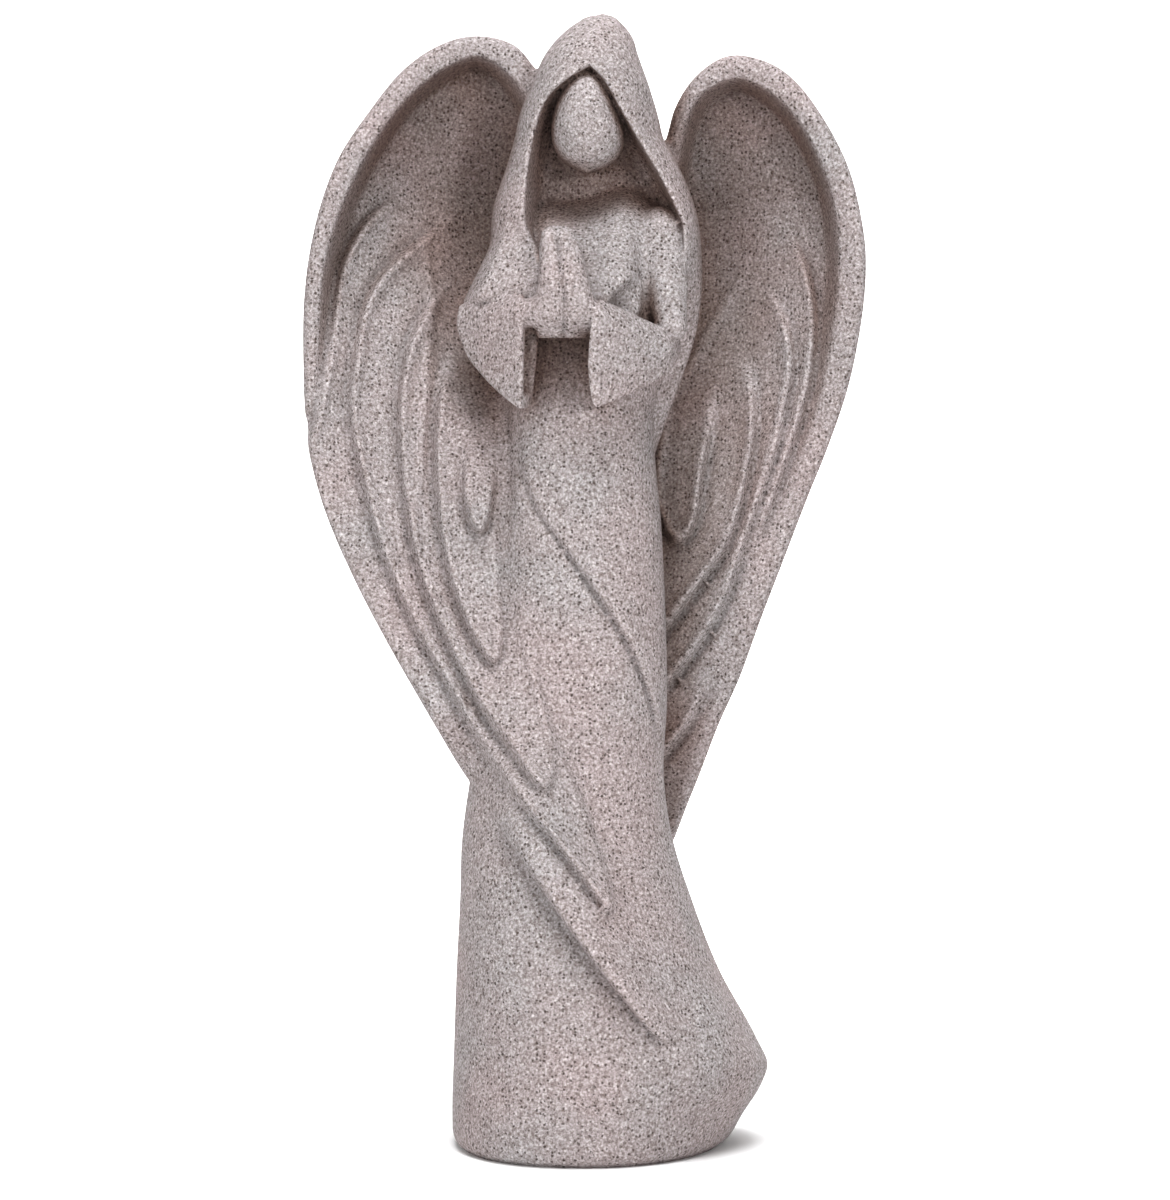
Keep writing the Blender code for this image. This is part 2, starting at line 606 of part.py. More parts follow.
def upper_body(u, v, w, maps):
    """Hood, face, chest, arms and hands."""
    body = join(torso(u, v, w), chest(u, v, w), 8.0)
    body = join(body, limb(u, v, w, RIGHT_UPPER), 7.0)
    body = join(body, hood(u, v, w, maps["opening"], maps["crease"]), 4.0)
    body = join(body, face(u, v, w), 2.0)
    sleeve = facets(u, v, w, LEFT_CUFF_PLANES)
    sleeve = meet(sleeve, -facets(u, v, w, LEFT_HOLLOW_PLANES), 3.0)
    arm = facets(u, v, w, LEFT_UPPER_PLANES, 6.0)
    arm = meet(arm, -limb(u, v, w, LEFT_DIP), 6.0)
    body = join(body, join(arm, sleeve, 3.0), 4.0)
    sleeve = facets(u, v, w, RIGHT_CUFF_PLANES)
    sleeve = meet(sleeve, -facets(u, v, w, RIGHT_HOLLOW_PLANES), 3.0)
    body = join(body, sleeve, 2.5)
    pair = join(hands(u, v, w), limb(u, v, w, LEFT_WRIST), 4.0)
    pair = join(pair, limb(u, v, w, RIGHT_WRIST), 4.0)
    return join(body, pair, 3.0)


def figure(us, vs, ws, maps):
    u, v, w = us[:, None, None], vs[None, :, None], ws[None, None, :]
    maps = {
        key: [m[:, :, None] for m in value] if isinstance(value, list) else value[:, :, None]
        for key, value in maps.items()
    }
    out = np.full((len(us), len(vs), len(ws)), 60.0, np.float32)
    if vs[-1] >= 330:
        at = window(us, ws, (438, 784), (-172, 216))
        column_part = gown(u[at[0]], v, w[:, :, at[2]], maps["gown"][at[0]])
        out[at] = np.minimum(np.maximum(column_part, 330 - v), 60)
    for hand in (1, -1):
        out = join(out, wing(w, *maps[hand]), 5.0)
    if vs[0] < 470:
        at = window(us, ws, (438, 724), (-150, 84))
        here = {key: maps[key][at[0]] for key in ("opening", "crease")}
        out[at] = join(out[at], upper_body(u[at[0]], v, w[:, :, at[2]], here), 4.0)
    ground = -place(u, v, w)[2] / UNIT
    return meet(out, ground + 0 * u, 16.0).astype(np.float32)


def sample(step):
    """The field of the whole figure on a grid, worked out in bands of height lines."""
    us = np.arange(284.0, 886.0, step).astype(np.float32)
    vs = np.arange(0.0, 1192.0, step).astype(np.float32)
    ws = np.arange(-172.0, 216.0, step).astype(np.float32)
    u, v = np.meshgrid(us.astype(float), vs.astype(float), indexing="ij")
    maps = wing_maps(u, v)
    maps["gown"] = gown_relief(u, v)
    maps["opening"] = region(u, v, opening_ring())
    maps["crease"] = hood_relief(u, v)
    out = np.empty((len(us), len(vs), len(ws)), np.float32)

    def band(start):
        rows = slice(start, start + 16)
        cut = {
            key: [m[:, rows].astype(np.float32) for m in value]
            if isinstance(value, tuple)
            else value[:, rows].astype(np.float32)
            for key, value in maps.items()
        }
        out[:, rows] = figure(us, vs[rows], ws, cut)

    with ThreadPoolExecutor(4) as pool:
        list(pool.map(band, range(0, len(vs), 16)))
    return us, vs, ws, out


def single_sheet_codes():
    """For each pattern of filled cell corners, whether the surface in the cell is one sheet."""
    links = [
        (a, b) for a in range(8) for b in range(a + 1, 8) if bin(a ^ b).count("1") == 1
    ]
    good = np.zeros(256, bool)
    for code in range(256):
        parts = 0
        for filled in (0, 1):
            left = {k for k in range(8) if (code >> k & 1) == filled}
            while left:
                parts += 1
                stack = [left.pop()]
                while stack:
                    here = stack.pop()
                    for a, b in links:
                        other = b if a == here else a if b == here else None
                        if other in left:
                            left.discard(other)
                            stack.append(other)
        good[code] = parts <= 2
    return good


def cell_codes(field):
    filled = field < 0
    nx, ny, nz = (n - 1 for n in field.shape)
    code = np.zeros((nx, ny, nz), np.uint8)
    for k in range(8):
        i, j, m = k & 1, k >> 1 & 1, k >> 2 & 1
        code |= filled[i : i + nx, j : j + ny, m : m + nz].astype(np.uint8) << k
    return code


def net(field):
    """The zero surface as four-sided faces: one point in each cell that it crosses."""
    good = single_sheet_codes()
    for _ in range(40):
        code = cell_codes(field)
        bad = np.argwhere(~good[code])
        if not len(bad):
            break
        for k in range(8):
            at = tuple((bad + [k & 1, k >> 1 & 1, k >> 2 & 1]).T)
            field[at] = np.minimum(field[at], -0.05)
    cells = np.argwhere((code > 0) & (code < 255))
    index = np.full(code.shape, -1, np.int32)
    index[tuple(cells.T)] = np.arange(len(cells))
    total = np.zeros((len(cells), 3))
    count = np.zeros(len(cells))
    corner = [np.array([k & 1, k >> 1 & 1, k >> 2 & 1]) for k in range(8)]
    value = [field[tuple((cells + c).T)].astype(float) for c in corner]
    for a in range(8):
        for axis in range(3):
            b = a | 1 << axis
            if b == a:
                continue
            cross = (value[a] < 0) != (value[b] < 0)
            t = value[a][cross] / (value[a][cross] - value[b][cross])
            total[cross] += corner[a] + t[:, None] * (corner[b] - corner[a])
            count[cross] += 1
    points = cells + total / count[:, None]
    quads = []
    for axis in range(3):
        p, q = [k for k in range(3) if k != axis]
        low = [slice(None)] * 3
        high = [slice(None)] * 3
        low[axis] = slice(None, -1)
        high[axis] = slice(1, None)
        before, after = field[tuple(low)] < 0, field[tuple(high)] < 0
        at = np.argwhere(before != after)
        at = at[(at[:, p] > 0) & (at[:, q] > 0)]
        step_p, step_q = np.eye(3, dtype=int)[p], np.eye(3, dtype=int)[q]
        ring = [at - step_p - step_q, at - step_q, at, at - step_p]
        quad = np.stack([index[tuple(r.T)] for r in ring], axis=1)
        flip = before[tuple(at.T)] ^ (axis == 1)
        quads.append(np.where(flip[:, None], quad, quad[:, ::-1]))
    return points, np.vstack(quads)


def relax(points, quads, rounds):
    """Evens out the marks of the grid without shrinking the figure."""
    ends = np.vstack([quads[:, [k, (k + 1) % 4]] for k in range(4)])
    degree = np.bincount(ends.ravel(), minlength=len(points)).astype(float)
    for step in [s for _ in range(rounds) for s in (0.5, -0.52)]:
        total = np.stack(
            [
                np.bincount(ends[:, 0], points[ends[:, 1], k], len(points))
                + np.bincount(ends[:, 1], points[ends[:, 0], k], len(points))
                for k in range(3)
            ],
            axis=1,
        )
        points = points + step * (total / degree[:, None] - points)
    return points


def largest(points, quads):
    """Leaves out crumbs that are not joined to the figure."""
    label = np.arange(len(points))
    while True:
        low = label[quads].min(axis=1)
        new = label.copy()
        for k in range(4):
            np.minimum.at(new, quads[:, k], low)
        new = new[new]
        if (new == label).all():
            break
        label = new
    main = np.bincount(label).argmax()
    keep = label == main
    order = np.cumsum(keep) - 1
    return points[keep], order[quads[keep[quads[:, 0]]]]


def build():
    for obj in list(bpy.data.objects):
        bpy.data.objects.remove(obj)
    us, vs, ws, field = sample(STEP)
    points, quads = net(field)
    points, quads = largest(points, quads)
    points = relax(points, quads, 2)
    xyz = np.stack(
        place(
            us[0] + points[:, 0] * STEP,
            vs[0] + points[:, 1] * STEP,
            ws[0] + points[:, 2] * STEP,
        ),
        axis=1,
    )
    xyz[:, 2] = np.where(xyz[:, 2] < 0.3, 0.0, xyz[:, 2])  # the foot is exactly flat
    low, high = xyz.min(axis=0), xyz.max(axis=0)
    xyz -= [(low[0] + high[0]) / 2, (low[1] + high[1]) / 2, low[2]]
    mesh = bpy.data.meshes.new(NODE)
    mesh.from_pydata((xyz / 1000).tolist(), [], quads.tolist())
    mesh.update()
    obj = bpy.data.objects.new(NODE, mesh)
    bpy.context.scene.collection.objects.link(obj)
    fewer = obj.modifiers.new("fewer", "DECIMATE")
    fewer.ratio = TRIANGLES / (2 * len(quads))
    fewer.use_collapse_triangulate = True
    return obj


build()
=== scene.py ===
"""Hooded angel with folded hands in speckled cast stone.

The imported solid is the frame.  The figurine shown is the same body, worked out on a
finer grid from the same curves, profiles and sections, with its stone finish.
The curves are drawn on one front view, 1155 drawing units high: u runs to the right,
v runs down and w from the front to the back.  The view is drawn as seen from 0.8 m in
front at mid height, and place() takes that out when it turns (u, v, w) into
millimetres.  Each part of the body is a field: negative inside, positive outside.
"""

import math
from concurrent.futures import ThreadPoolExecutor

import bmesh
import bpy
import numpy as np
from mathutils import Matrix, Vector
from mathutils.bvhtree import BVHTree


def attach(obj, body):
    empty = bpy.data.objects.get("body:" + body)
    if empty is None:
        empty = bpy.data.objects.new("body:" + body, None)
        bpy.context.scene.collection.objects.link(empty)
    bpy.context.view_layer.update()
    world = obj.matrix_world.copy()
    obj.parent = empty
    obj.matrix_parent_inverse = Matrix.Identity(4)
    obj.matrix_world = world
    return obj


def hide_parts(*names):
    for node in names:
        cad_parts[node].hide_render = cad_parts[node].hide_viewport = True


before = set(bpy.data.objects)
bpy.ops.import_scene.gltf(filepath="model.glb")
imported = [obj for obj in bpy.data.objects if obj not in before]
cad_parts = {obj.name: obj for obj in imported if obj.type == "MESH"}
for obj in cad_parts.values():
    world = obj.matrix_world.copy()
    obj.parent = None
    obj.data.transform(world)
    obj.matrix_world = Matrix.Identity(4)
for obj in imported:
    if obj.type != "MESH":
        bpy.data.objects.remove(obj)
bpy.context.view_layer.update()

VISUAL_STEP = 2.0  # spacing of the sampling grid, drawing units
VISUAL_TRIANGLES = 192000
# colours of the stone, linear
GROUND_DARK = (0.143, 0.114, 0.106, 1)
GROUND_MID = (0.316, 0.282, 0.282, 1)
GROUND_PALE = (0.506, 0.470, 0.480, 1)
DARK = (0.040, 0.026, 0.021, 1)
DARK_SOFT = (0.130, 0.094, 0.080, 1)
PALE = (0.76, 0.71, 0.71, 1)
DARK_GRAINS = 0.9
# painted shade: the colour that deep hollows are darkened towards
HOLLOW_PAINTED_SHADE = (0.62, 0.50, 0.44, 1)
# light: place, aim, size, power in watts and colour
SKY_TOP = (1.0, 0.985, 0.975, 1)
SKY_LOW = (0.10, 0.092, 0.086, 1)
SKY = 0.49
KEY = ((0.06, -0.52, 1.28), (0.0, 0.0, 0.12), (0.60, 0.60), 15.4, (0.97, 0.985, 1.0))
SIDE = ((0.60, -1.15, 0.30), (0.0, 0.0, 0.10), (0.24, 0.24), 6.4, (1.0, 0.995, 0.99))
FILL = ((-0.75, -0.95, 0.34), (0.0, 0.0, 0.06), (0.8, 0.8), 7.0, (1.0, 0.995, 0.99))
BACK = ((0.0, 0.30, 0.95), (0.0, 0.0, 0.12), (0.9, 0.40), 4.2, (1.0, 1.0, 1.0))
CONTRAST = 0.85
WALL = 1.6  # how far behind the figure the floor has swept up into a wall
COVE_NEAR, COVE_FAR, COVE_GLOW = 0.04, 0.45, 0.95

UNIT = 0.23  # millimetres for one drawing unit
EYE = 800.0  # millimetres from the middle of the figure to the eye of the front view
MID_U, MID_V = 585.0, 600.0  # centre of the front view
MID_HEIGHT = 125.4  # height of that centre above the ground, millimetres


# ---------------------------------------------------------------- curves


def smooth(x, knots, values):
    """A smooth curve through a few knots, level before the first and after the last."""
    k = np.asarray(knots, float)
    y = np.asarray(values, float)
    slope = np.gradient(y, k)
    kind = np.asarray(x).dtype
    x = np.clip(x, k[0], k[-1])
    i = np.clip(np.searchsorted(k, x, side="right") - 1, 0, len(k) - 2)
    h = k[i + 1] - k[i]
    t = (x - k[i]) / h
    return (
        (2 * t**3 - 3 * t**2 + 1) * y[i]
        + (t**3 - 2 * t**2 + t) * h * slope[i]
        + (3 * t**2 - 2 * t**3) * y[i + 1]
        + (t**3 - t**2) * h * slope[i + 1]
    ).astype(kind)


def by_height(v, pairs):
    """Smooth value at height line v, from (v, value) pairs."""
    return smooth(v, [p[0] for p in pairs], [p[1] for p in pairs])


def trace(points, count):
    """count points evenly along a smooth line through a few control points."""
    p = np.asarray(points, float)
    t = np.concatenate(
        [[0], np.cumsum(np.sqrt(np.linalg.norm(np.diff(p, axis=0), axis=1)))]
    )
    x = np.linspace(0, t[-1], count)
    return np.stack([smooth(x, t, p[:, k]) for k in range(p.shape[1])], axis=1)


def ramp(x, low, high):
    """0 below low, 1 above high, smooth between."""
    t = np.clip((x - low) / (high - low), 0, 1)
    return t * t * (3 - 2 * t)


def nearest(u, v, line):
    """Distance to a line, the side (+ or -), and the share of the line travelled there."""
    best = np.full(u.shape, 1e12)
    side = np.ones(u.shape)
    share = np.zeros(u.shape)
    length = np.linalg.norm(np.diff(line, axis=0), axis=1)
    run = np.concatenate([[0], np.cumsum(length)])
    for k, (a, b) in enumerate(zip(line[:-1], line[1:])):
        d = b - a
        t = np.clip(((u - a[0]) * d[0] + (v - a[1]) * d[1]) / (d @ d + 1e-9), 0, 1)
        gap = (u - a[0] - t * d[0]) ** 2 + (v - a[1] - t * d[1]) ** 2
        near = gap < best
        best = np.where(near, gap, best)
        side = np.where(near, np.sign(d[0] * (v - a[1]) - d[1] * (u - a[0])), side)
        share = np.where(near, (run[k] + t * length[k]) / run[-1], share)
    return np.sqrt(best), side, share


def region(u, v, ring):
    """Signed distance to a closed outline, negative inside."""
    ring = np.vstack([ring, ring[:1]])
    gap, _, _ = nearest(u, v, ring)
    inside = np.zeros(u.shape, bool)
    for a, b in zip(ring[:-1], ring[1:]):
        if a[1] == b[1]:
            continue
        crosses = (a[1] > v) != (b[1] > v)
        inside ^= crosses & (u < (b[0] - a[0]) * (v - a[1]) / (b[1] - a[1]) + a[0])
    return np.where(inside, -gap, gap)


def sheet(u, v, spots):
    """A smooth sheet through spots (u, v, depth)."""
    s = np.asarray(spots, float)
    p = s[:, :2] / 100

    def bend(r2):
        return r2 * np.log(r2 + 1e-9)

    n = len(s)
    gaps = ((p[:, None] - p[None]) ** 2).sum(axis=2)
    side = np.hstack([np.ones((n, 1)), p])
    whole = np.zeros((n + 3, n + 3))
    whole[:n, :n] = bend(gaps) + 0.02 * np.eye(n)
    whole[:n, n:] = side
    whole[n:, :n] = side.T
    found = np.linalg.solve(whole, np.concatenate([s[:, 2], np.zeros(3)]))
    out = found[n] + found[n + 1] * u / 100 + found[n + 2] * v / 100
    for k in range(n):
        out = out + found[k] * bend((u / 100 - p[k, 0]) ** 2 + (v / 100 - p[k, 1]) ** 2)
    return out


# ---------------------------------------------------------------- fields


def join(a, b, fillet):
    h = np.maximum(fillet - np.abs(a - b), 0) / fillet
    return np.minimum(a, b) - h * h * fillet * 0.25


def meet(a, b, fillet):
    return -join(-a, -b, fillet)


def column(u, w, left, right, front, back, mid, power):
    """A column whose level sections are rounded ovals between the four profiles."""
    centre = (left + right) / 2
    a = np.maximum((right - left) / 2, 0.5)
    b = np.maximum(np.where(w < mid, mid - front, back - mid), 0.5)
    x = np.abs(u - centre) / a
    y = np.abs(w - mid) / b
    r = (x**power + y**power) ** (1 / power)
    return (r - 1) * np.minimum(a, b)


def hull(points):
    """Face planes of the smallest faceted body around the points."""
    bm = bmesh.new()
    for p in points:
        bm.verts.new(p)
    bmesh.ops.convex_hull(bm, input=bm.verts)
    middle = np.mean(np.asarray(points, float), axis=0)
    planes = {}
    for face in bm.faces:
        n = np.array(face.normal)
        d = n @ np.array(face.verts[0].co)
        if n @ middle > d:
            n, d = -n, -d
        if np.linalg.norm(n) > 0.5:
            planes[tuple(np.round(n, 3))] = (n, d)
    bm.free()
    return list(planes.values())


def facets(u, v, w, planes, round_off=3.0):
    out = None
    for n, d in planes:
        f = n[0] * u + n[1] * v + n[2] * w - d
        out = f if out is None else meet(out, f, round_off)
    return out


def limb(u, v, w, stations):
    """A rounded limb through stations (u, v, w, radius)."""
    out = None
    for a, b in zip(stations[:-1], stations[1:]):
        a, b = np.asarray(a, float), np.asarray(b, float)
        d = b[:3] - a[:3]
        t = ((u - a[0]) * d[0] + (v - a[1]) * d[1] + (w - a[2]) * d[2]) / (d @ d)
        t = np.clip(t, 0, 1)
        gap = np.sqrt(
            (u - a[0] - t * d[0]) ** 2
            + (v - a[1] - t * d[1]) ** 2
            + (w - a[2] - t * d[2]) ** 2
        )
        f = gap - (a[3] + t * (b[3] - a[3]))
        out = f if out is None else join(out, f, 6.0)
    return out


# ---------------------------------------------------------------- gown

GOWN_LEFT = [
    (330, 520), (380, 512), (450, 505), (520, 499), (600, 494), (700, 485), (780, 470),
    (840, 462), (900, 460), (960, 457), (1050, 454), (1110, 452.5), (1190, 455),
]  # fmt: skip
GOWN_RIGHT = [
    (330, 660), (380, 656), (450, 655), (520, 661), (600, 665), (700, 667), (780, 664),
    (840, 673), (900, 692), (971, 720), (1039, 757), (1064, 767.5), (1084, 761),
    (1116, 741), (1145, 726), (1190, 712),
]  # fmt: skip
GOWN_FRONT = [
    (330, -48), (380, -57), (450, -63), (600, -72), (700, -80), (780, -90), (840, -99),
    (900, -112), (960, -126), (1040, -141), (1110, -150), (1190, -152),
]  # fmt: skip
GOWN_BACK = [
    (330, 88), (520, 86), (600, 90), (700, 98), (780, 108), (840, 119),
    (900, 133), (960, 150), (1040, 172), (1110, 186), (1190, 190),
]  # fmt: skip
GOWN_MID = [(330, 10), (600, 8), (800, 8), (1000, 14), (1190, 16)]
# The right half of a section runs to a blunt corner where the hem swings out.
GOWN_CORNER = [(780, 2.3), (900, 2.2), (1000, 2.05), (1064, 1.95), (1190, 2.05)]
SEAM = [
    (517, 440), (523, 478), (536, 509), (560, 543), (594, 592), (623, 637),
    (643, 680), (655, 720), (661, 770),
]  # fmt: skip
HEM_SWEEP = [(652, 1034), (680, 1062), (708, 1090), (740, 1108)]


def gown_profiles(v):
    return [
        by_height(v, pairs)
        for pairs in (GOWN_LEFT, GOWN_RIGHT, GOWN_FRONT, GOWN_BACK, GOWN_MID)
    ]


def gown_power(u, v, left, right):
    return np.where(u > (left + right) / 2, by_height(v, GOWN_CORNER), 2.35)


def gown_face(u, v, back=False):
    """Depth of the gown's front, or of its back, at each point of the front view."""
    left, right, front, behind, mid = gown_profiles(v)
    power = gown_power(u, v, left, right)
    x = np.clip(np.abs(u - (left + right) / 2) / ((right - left) / 2), 0, 0.995)
    y = (1 - x**power) ** (1 / power)
    return mid + (behind - mid) * y if back else mid - (mid - front) * y


def gown_relief(u, v):
    """How far carving stands out of the gown's front."""
    gap, side, share = nearest(u, v, trace(SEAM, 60))
    d = gap * side
    rise = ramp(-d, -2, 7) * np.exp(-np.maximum(-d, 0) / 45)
    out = (5.0 + 5.0 * ramp(share, 0.2, 0.7)) * rise * ramp(share, 0.0, 0.08)
    out -= 2.6 * np.exp(-(((d - 1.5) / 2.8) ** 2)) * ramp(share, 0.0, 0.06) * (1 - ramp(share, 0.9, 1.0))
    gap, side, share = nearest(u, v, trace(HEM_SWEEP, 30))
    d = -gap * side
    rise = ramp(d, -26, 8) * np.exp(-np.maximum(d, 0) / 60)
    out = out + 7.0 * rise * ramp(share, 0.0, 0.2) * (1 - 0.8 * ramp(share, 0.6, 1.0))
    return out


def gown(u, v, w, relief):
    left, right, front, back, mid = gown_profiles(v)
    out = ramp(mid - w, 0, 30)
    return column(
        u, w + relief * out, left, right, front, back, mid,
        gown_power(u, v, left, right),
    )  # fmt: skip


# ---------------------------------------------------------------- torso, hood, face

TORSO_LEFT = [(192, 575), (200, 545), (212, 520), (230, 510), (260, 504), (330, 503), (400, 510), (460, 516)]
TORSO_RIGHT = [
    (192, 625), (200, 655), (212, 672), (228, 684), (260, 688), (320, 682),
    (375, 666), (410, 652), (460, 645),
]  # fmt: skip
TORSO_FRONT = [(188, 14), (200, 1), (212, -18), (235, -42), (290, -52), (330, -50), (400, -54), (460, -52)]
TORSO_BACK = [(192, 50), (230, 76), (300, 88), (460, 86)]
# The cloth over the chest leans forward and turns under above the hands.
CHEST_FRONT = [(190, 14), (200, 0), (208, -14), (220, -35), (236, -54), (262, -70), (285, -81), (305, -84), (320, -72), (336, -46)]
CHEST_LEFT, CHEST_RIGHT = 530.0, 645.0
NECKLINE = [(520, 0), (545, 1), (572, 2), (592, -1), (612, -9), (630, -12), (650, -7), (680, 6)]
UNDER_ARM = [(628, 305, -80, 17), (646, 288, -70, 14)]

HOOD_LEFT = [
    (13.5, 603), (16, 590), (22, 578), (35, 561), (50, 548), (85, 532), (110, 521),
    (140, 514), (165, 507), (209, 493), (260, 491), (320, 494), (380, 501), (450, 508),
]  # fmt: skip
HOOD_RIGHT = [
    (13.5, 603), (16, 612), (22, 620), (35, 631), (55, 638), (92, 651), (120, 659),
    (137, 663), (161, 676), (187, 688), (215, 697), (260, 702), (310, 700),
    (345, 693), (375, 683), (412, 670), (450, 656),
]  # fmt: skip
HOOD_FRONT = [
    (13.5, -22), (18, -40), (28, -54), (45, -68), (66, -78), (110, -82), (180, -76),
    (262, -68), (300, -28), (450, -22),
]  # fmt: skip
HOOD_BACK = [(13.5, -22), (18, 2), (28, 22), (45, 42), (80, 66), (120, 80), (200, 91), (300, 94), (450, 88)]
HOOD_MID = [(13.5, -22), (60, -6), (140, 4), (260, 10), (450, 14)]
# The pointed arch of the opening, from its apex down the right and back up the left.
OPENING_RIGHT = [(590, 65), (603, 78), (622, 110), (640, 139), (660, 171), (676, 201), (686, 222)]
OPENING_LEFT = [(536, 264), (528, 250), (521, 228), (520, 180), (524, 150), (531, 124), (543, 97), (566, 79), (590, 65)]
OPENING_FOOT = [(687, 244), (684, 300), (680, 340), (670, 440), (560, 440), (540, 300)]
OPENING_DEPTH = [(60, -58), (90, -36), (130, -18), (160, -4), (205, 2), (240, -8), (460, -12)]

FACE_LEFT = [(69, 589), (73, 577), (81, 567), (94, 559), (110, 554), (130, 551), (148, 554), (160, 562), (168, 573), (173, 585)]
FACE_RIGHT = [(69, 589), (73, 597), (81, 606), (94, 613), (110, 619), (130, 624), (148, 623), (160, 616), (168, 604), (173, 588)]
FACE_FRONT = [(69, -62), (76, -72), (92, -80), (118, -83), (140, -80), (158, -70), (173, -46)]


def opening_ring():
    right = trace(OPENING_RIGHT, 40)
    left = trace(OPENING_LEFT, 50)
    return np.vstack([right, np.asarray(OPENING_FOOT, float), left[:-1]])


def hood_relief(u, v):
    """A soft crease runs up the middle of the hood from the apex of the opening."""
    gap, side, share = nearest(u, v, trace([(590, 64), (595, 48), (601, 32), (604, 20)], 12))
    return 2.2 * np.exp(-((gap / 7) ** 2)) * (1 - ramp(share, 0.5, 1.0))


def hood(u, v, w, opening, crease):
    left, right, front, back, mid = [
        by_height(v, pairs)
        for pairs in (HOOD_LEFT, HOOD_RIGHT, HOOD_FRONT, HOOD_BACK, HOOD_MID)
    ]
    out = column(u, w + crease * (w < mid), left, right, front, back, mid, 2.5)
    out = np.maximum(out, 13.5 - v)
    out = np.maximum(out, v - 450)
    # The opening narrows a little towards its floor, so its walls are seen.
    floor = by_height(v, OPENING_DEPTH)
    slant = 0.10 + 0.16 * ramp(-u, -570, -545)
    wall = opening + slant * np.clip(w + 80, 0, 90)
    return meet(out, -meet(wall, w - floor, 14.0), 4.0)


def face(u, v, w):
    left, right, front = [by_height(v, p) for p in (FACE_LEFT, FACE_RIGHT, FACE_FRONT)]
    out = column(u, w, left, right, front, 6.0, -24.0, 2.5)
    return np.maximum(out, np.maximum(69 - v, v - 173))


def shoulder_line(u, v):
    """The height line lowered under the chin, where the gown's neckline dips."""
    lower = smooth(u, [p[0] for p in NECKLINE], [p[1] for p in NECKLINE])
    return v - lower * np.clip((300 - v) / 90, 0, 1)


def chest(u, v, w):
    front = by_height(shoulder_line(u, v), CHEST_FRONT)
    out = column(u, w, CHEST_LEFT, CHEST_RIGHT, front, 40.0, 20.0, 4.0)
    out = np.maximum(out, np.maximum(176 - v, v - 336))
    return meet(out, -limb(u, v, w, UNDER_ARM), 7.0)


def torso(u, v, w):
    left, right, back = [by_height(v, p) for p in (TORSO_LEFT, TORSO_RIGHT, TORSO_BACK)]
    front = by_height(shoulder_line(u, v), TORSO_FRONT)
    out = column(u, w, left, right, front, back, 16.0, 2.4)
    return np.maximum(out, np.maximum(176 - v, v - 460))


# ---------------------------------------------------------------- arms and hands

LEFT_UPPER = [
    (513, 196, -24), (512, 200, 22), (459, 309, -44), (462, 300, 8),
    (516, 206, -47), (496, 252, -62), (478, 297, -72),
    (531, 240, -62), (545, 258, -80), (521, 299, -90), (546, 300, -96), (506, 300, 20), (518, 230, 25),
]  # fmt: skip
LEFT_DIP = [(494, 295, -82, 8), (514, 288, -92, 9)]
LEFT_CUFF = [
    (458, 304, -42), (486, 297, -64), (521, 291, -94), (455, 318, -42),
    (487, 313, -76), (521, 308, -106), (455, 327, -38),
    (465, 357, -48), (487, 383, -66), (507, 402, -90), (520, 411, -100),
    (521, 400, -105), (541, 330, -66), (533, 396, -64), (531, 409, -76),
    (470, 318, -2), (504, 388, -34), (528, 320, -40),
]  # fmt: skip
LEFT_CUFF_HOLLOW = [
    (526, 326, -97), (525, 396, -97), (560, 326, -92), (560, 405, -92),
    (560, 326, -74), (560, 400, -72), (536, 338, -73), (530, 392, -73), (504, 345, -72), (508, 382, -80),
]  # fmt: skip
RIGHT_UPPER = [(661, 231, -20, 25), (667, 285, -38, 20), (671, 326, -52, 16)]
RIGHT_CUFF = [
    (600, 297, -108), (637, 314, -84), (673, 331, -60), (598, 311, -121),
    (637, 331, -98), (673, 346, -72), (681, 336, -36), (682, 353, -36), (677, 364, -42),
    (671, 371, -62), (660, 381, -68), (620, 400, -98), (596, 410, -112), (590, 322, -121),
    (586, 365, -116), (591, 402, -112), (602, 312, -74), (598, 398, -70), (642, 372, -28),
    (677, 338, -4),
]  # fmt: skip
RIGHT_CUFF_HOLLOW = [
    (560, 330, -108), (560, 400, -104), (594, 332, -108), (596, 394, -104),
    (560, 332, -86), (560, 396, -84), (600, 334, -86), (602, 390, -84), (622, 352, -82),
]  # fmt: skip
HAND_LEFT = [(226, 551), (229, 545), (238, 541), (262, 539), (280, 538), (300, 535), (320, 533), (338, 538)]
HAND_RIGHT = [(226, 565), (229, 571), (238, 577), (250, 582), (262, 585), (280, 589), (300, 595), (320, 596), (338, 590)]
HAND_FRONT = [(226, -100), (231, -109), (245, -116), (300, -122), (322, -116), (338, -98)]
HAND_BACK = [(226, -92), (240, -80), (300, -70), (338, -78)]
LEFT_WRIST = [(552, 308, -104, 17), (524, 314, -91, 14)]
RIGHT_WRIST = [(578, 310, -104, 17), (606, 322, -98, 14)]


LEFT_UPPER_PLANES = hull(LEFT_UPPER)
LEFT_CUFF_PLANES, LEFT_HOLLOW_PLANES = hull(LEFT_CUFF), hull(LEFT_CUFF_HOLLOW)
RIGHT_CUFF_PLANES, RIGHT_HOLLOW_PLANES = hull(RIGHT_CUFF), hull(RIGHT_CUFF_HOLLOW)


def hands(u, v, w):
    left, right, front, back = [
        by_height(v, p) for p in (HAND_LEFT, HAND_RIGHT, HAND_FRONT, HAND_BACK)
    ]
    mid = (front + back) / 2
    parting = 4.5 * np.exp(-(((u - by_height(v, [(226, 556), (300, 564)])) / 2.8) ** 2))
    parting = parting * (w < mid)
    out = column(u, w - parting, left, right, front, back, mid, 3.0)
    return np.maximum(out, np.maximum(226 - v, v - 338))


# ---------------------------------------------------------------- wings
# A wing is a scoop: a thick rim on the outside, a hollow under it, and long
# feathers that lie one on another, each a step nearer the eye than the one
# outside it.  LEFT_ and RIGHT_ are the sides of the front view.

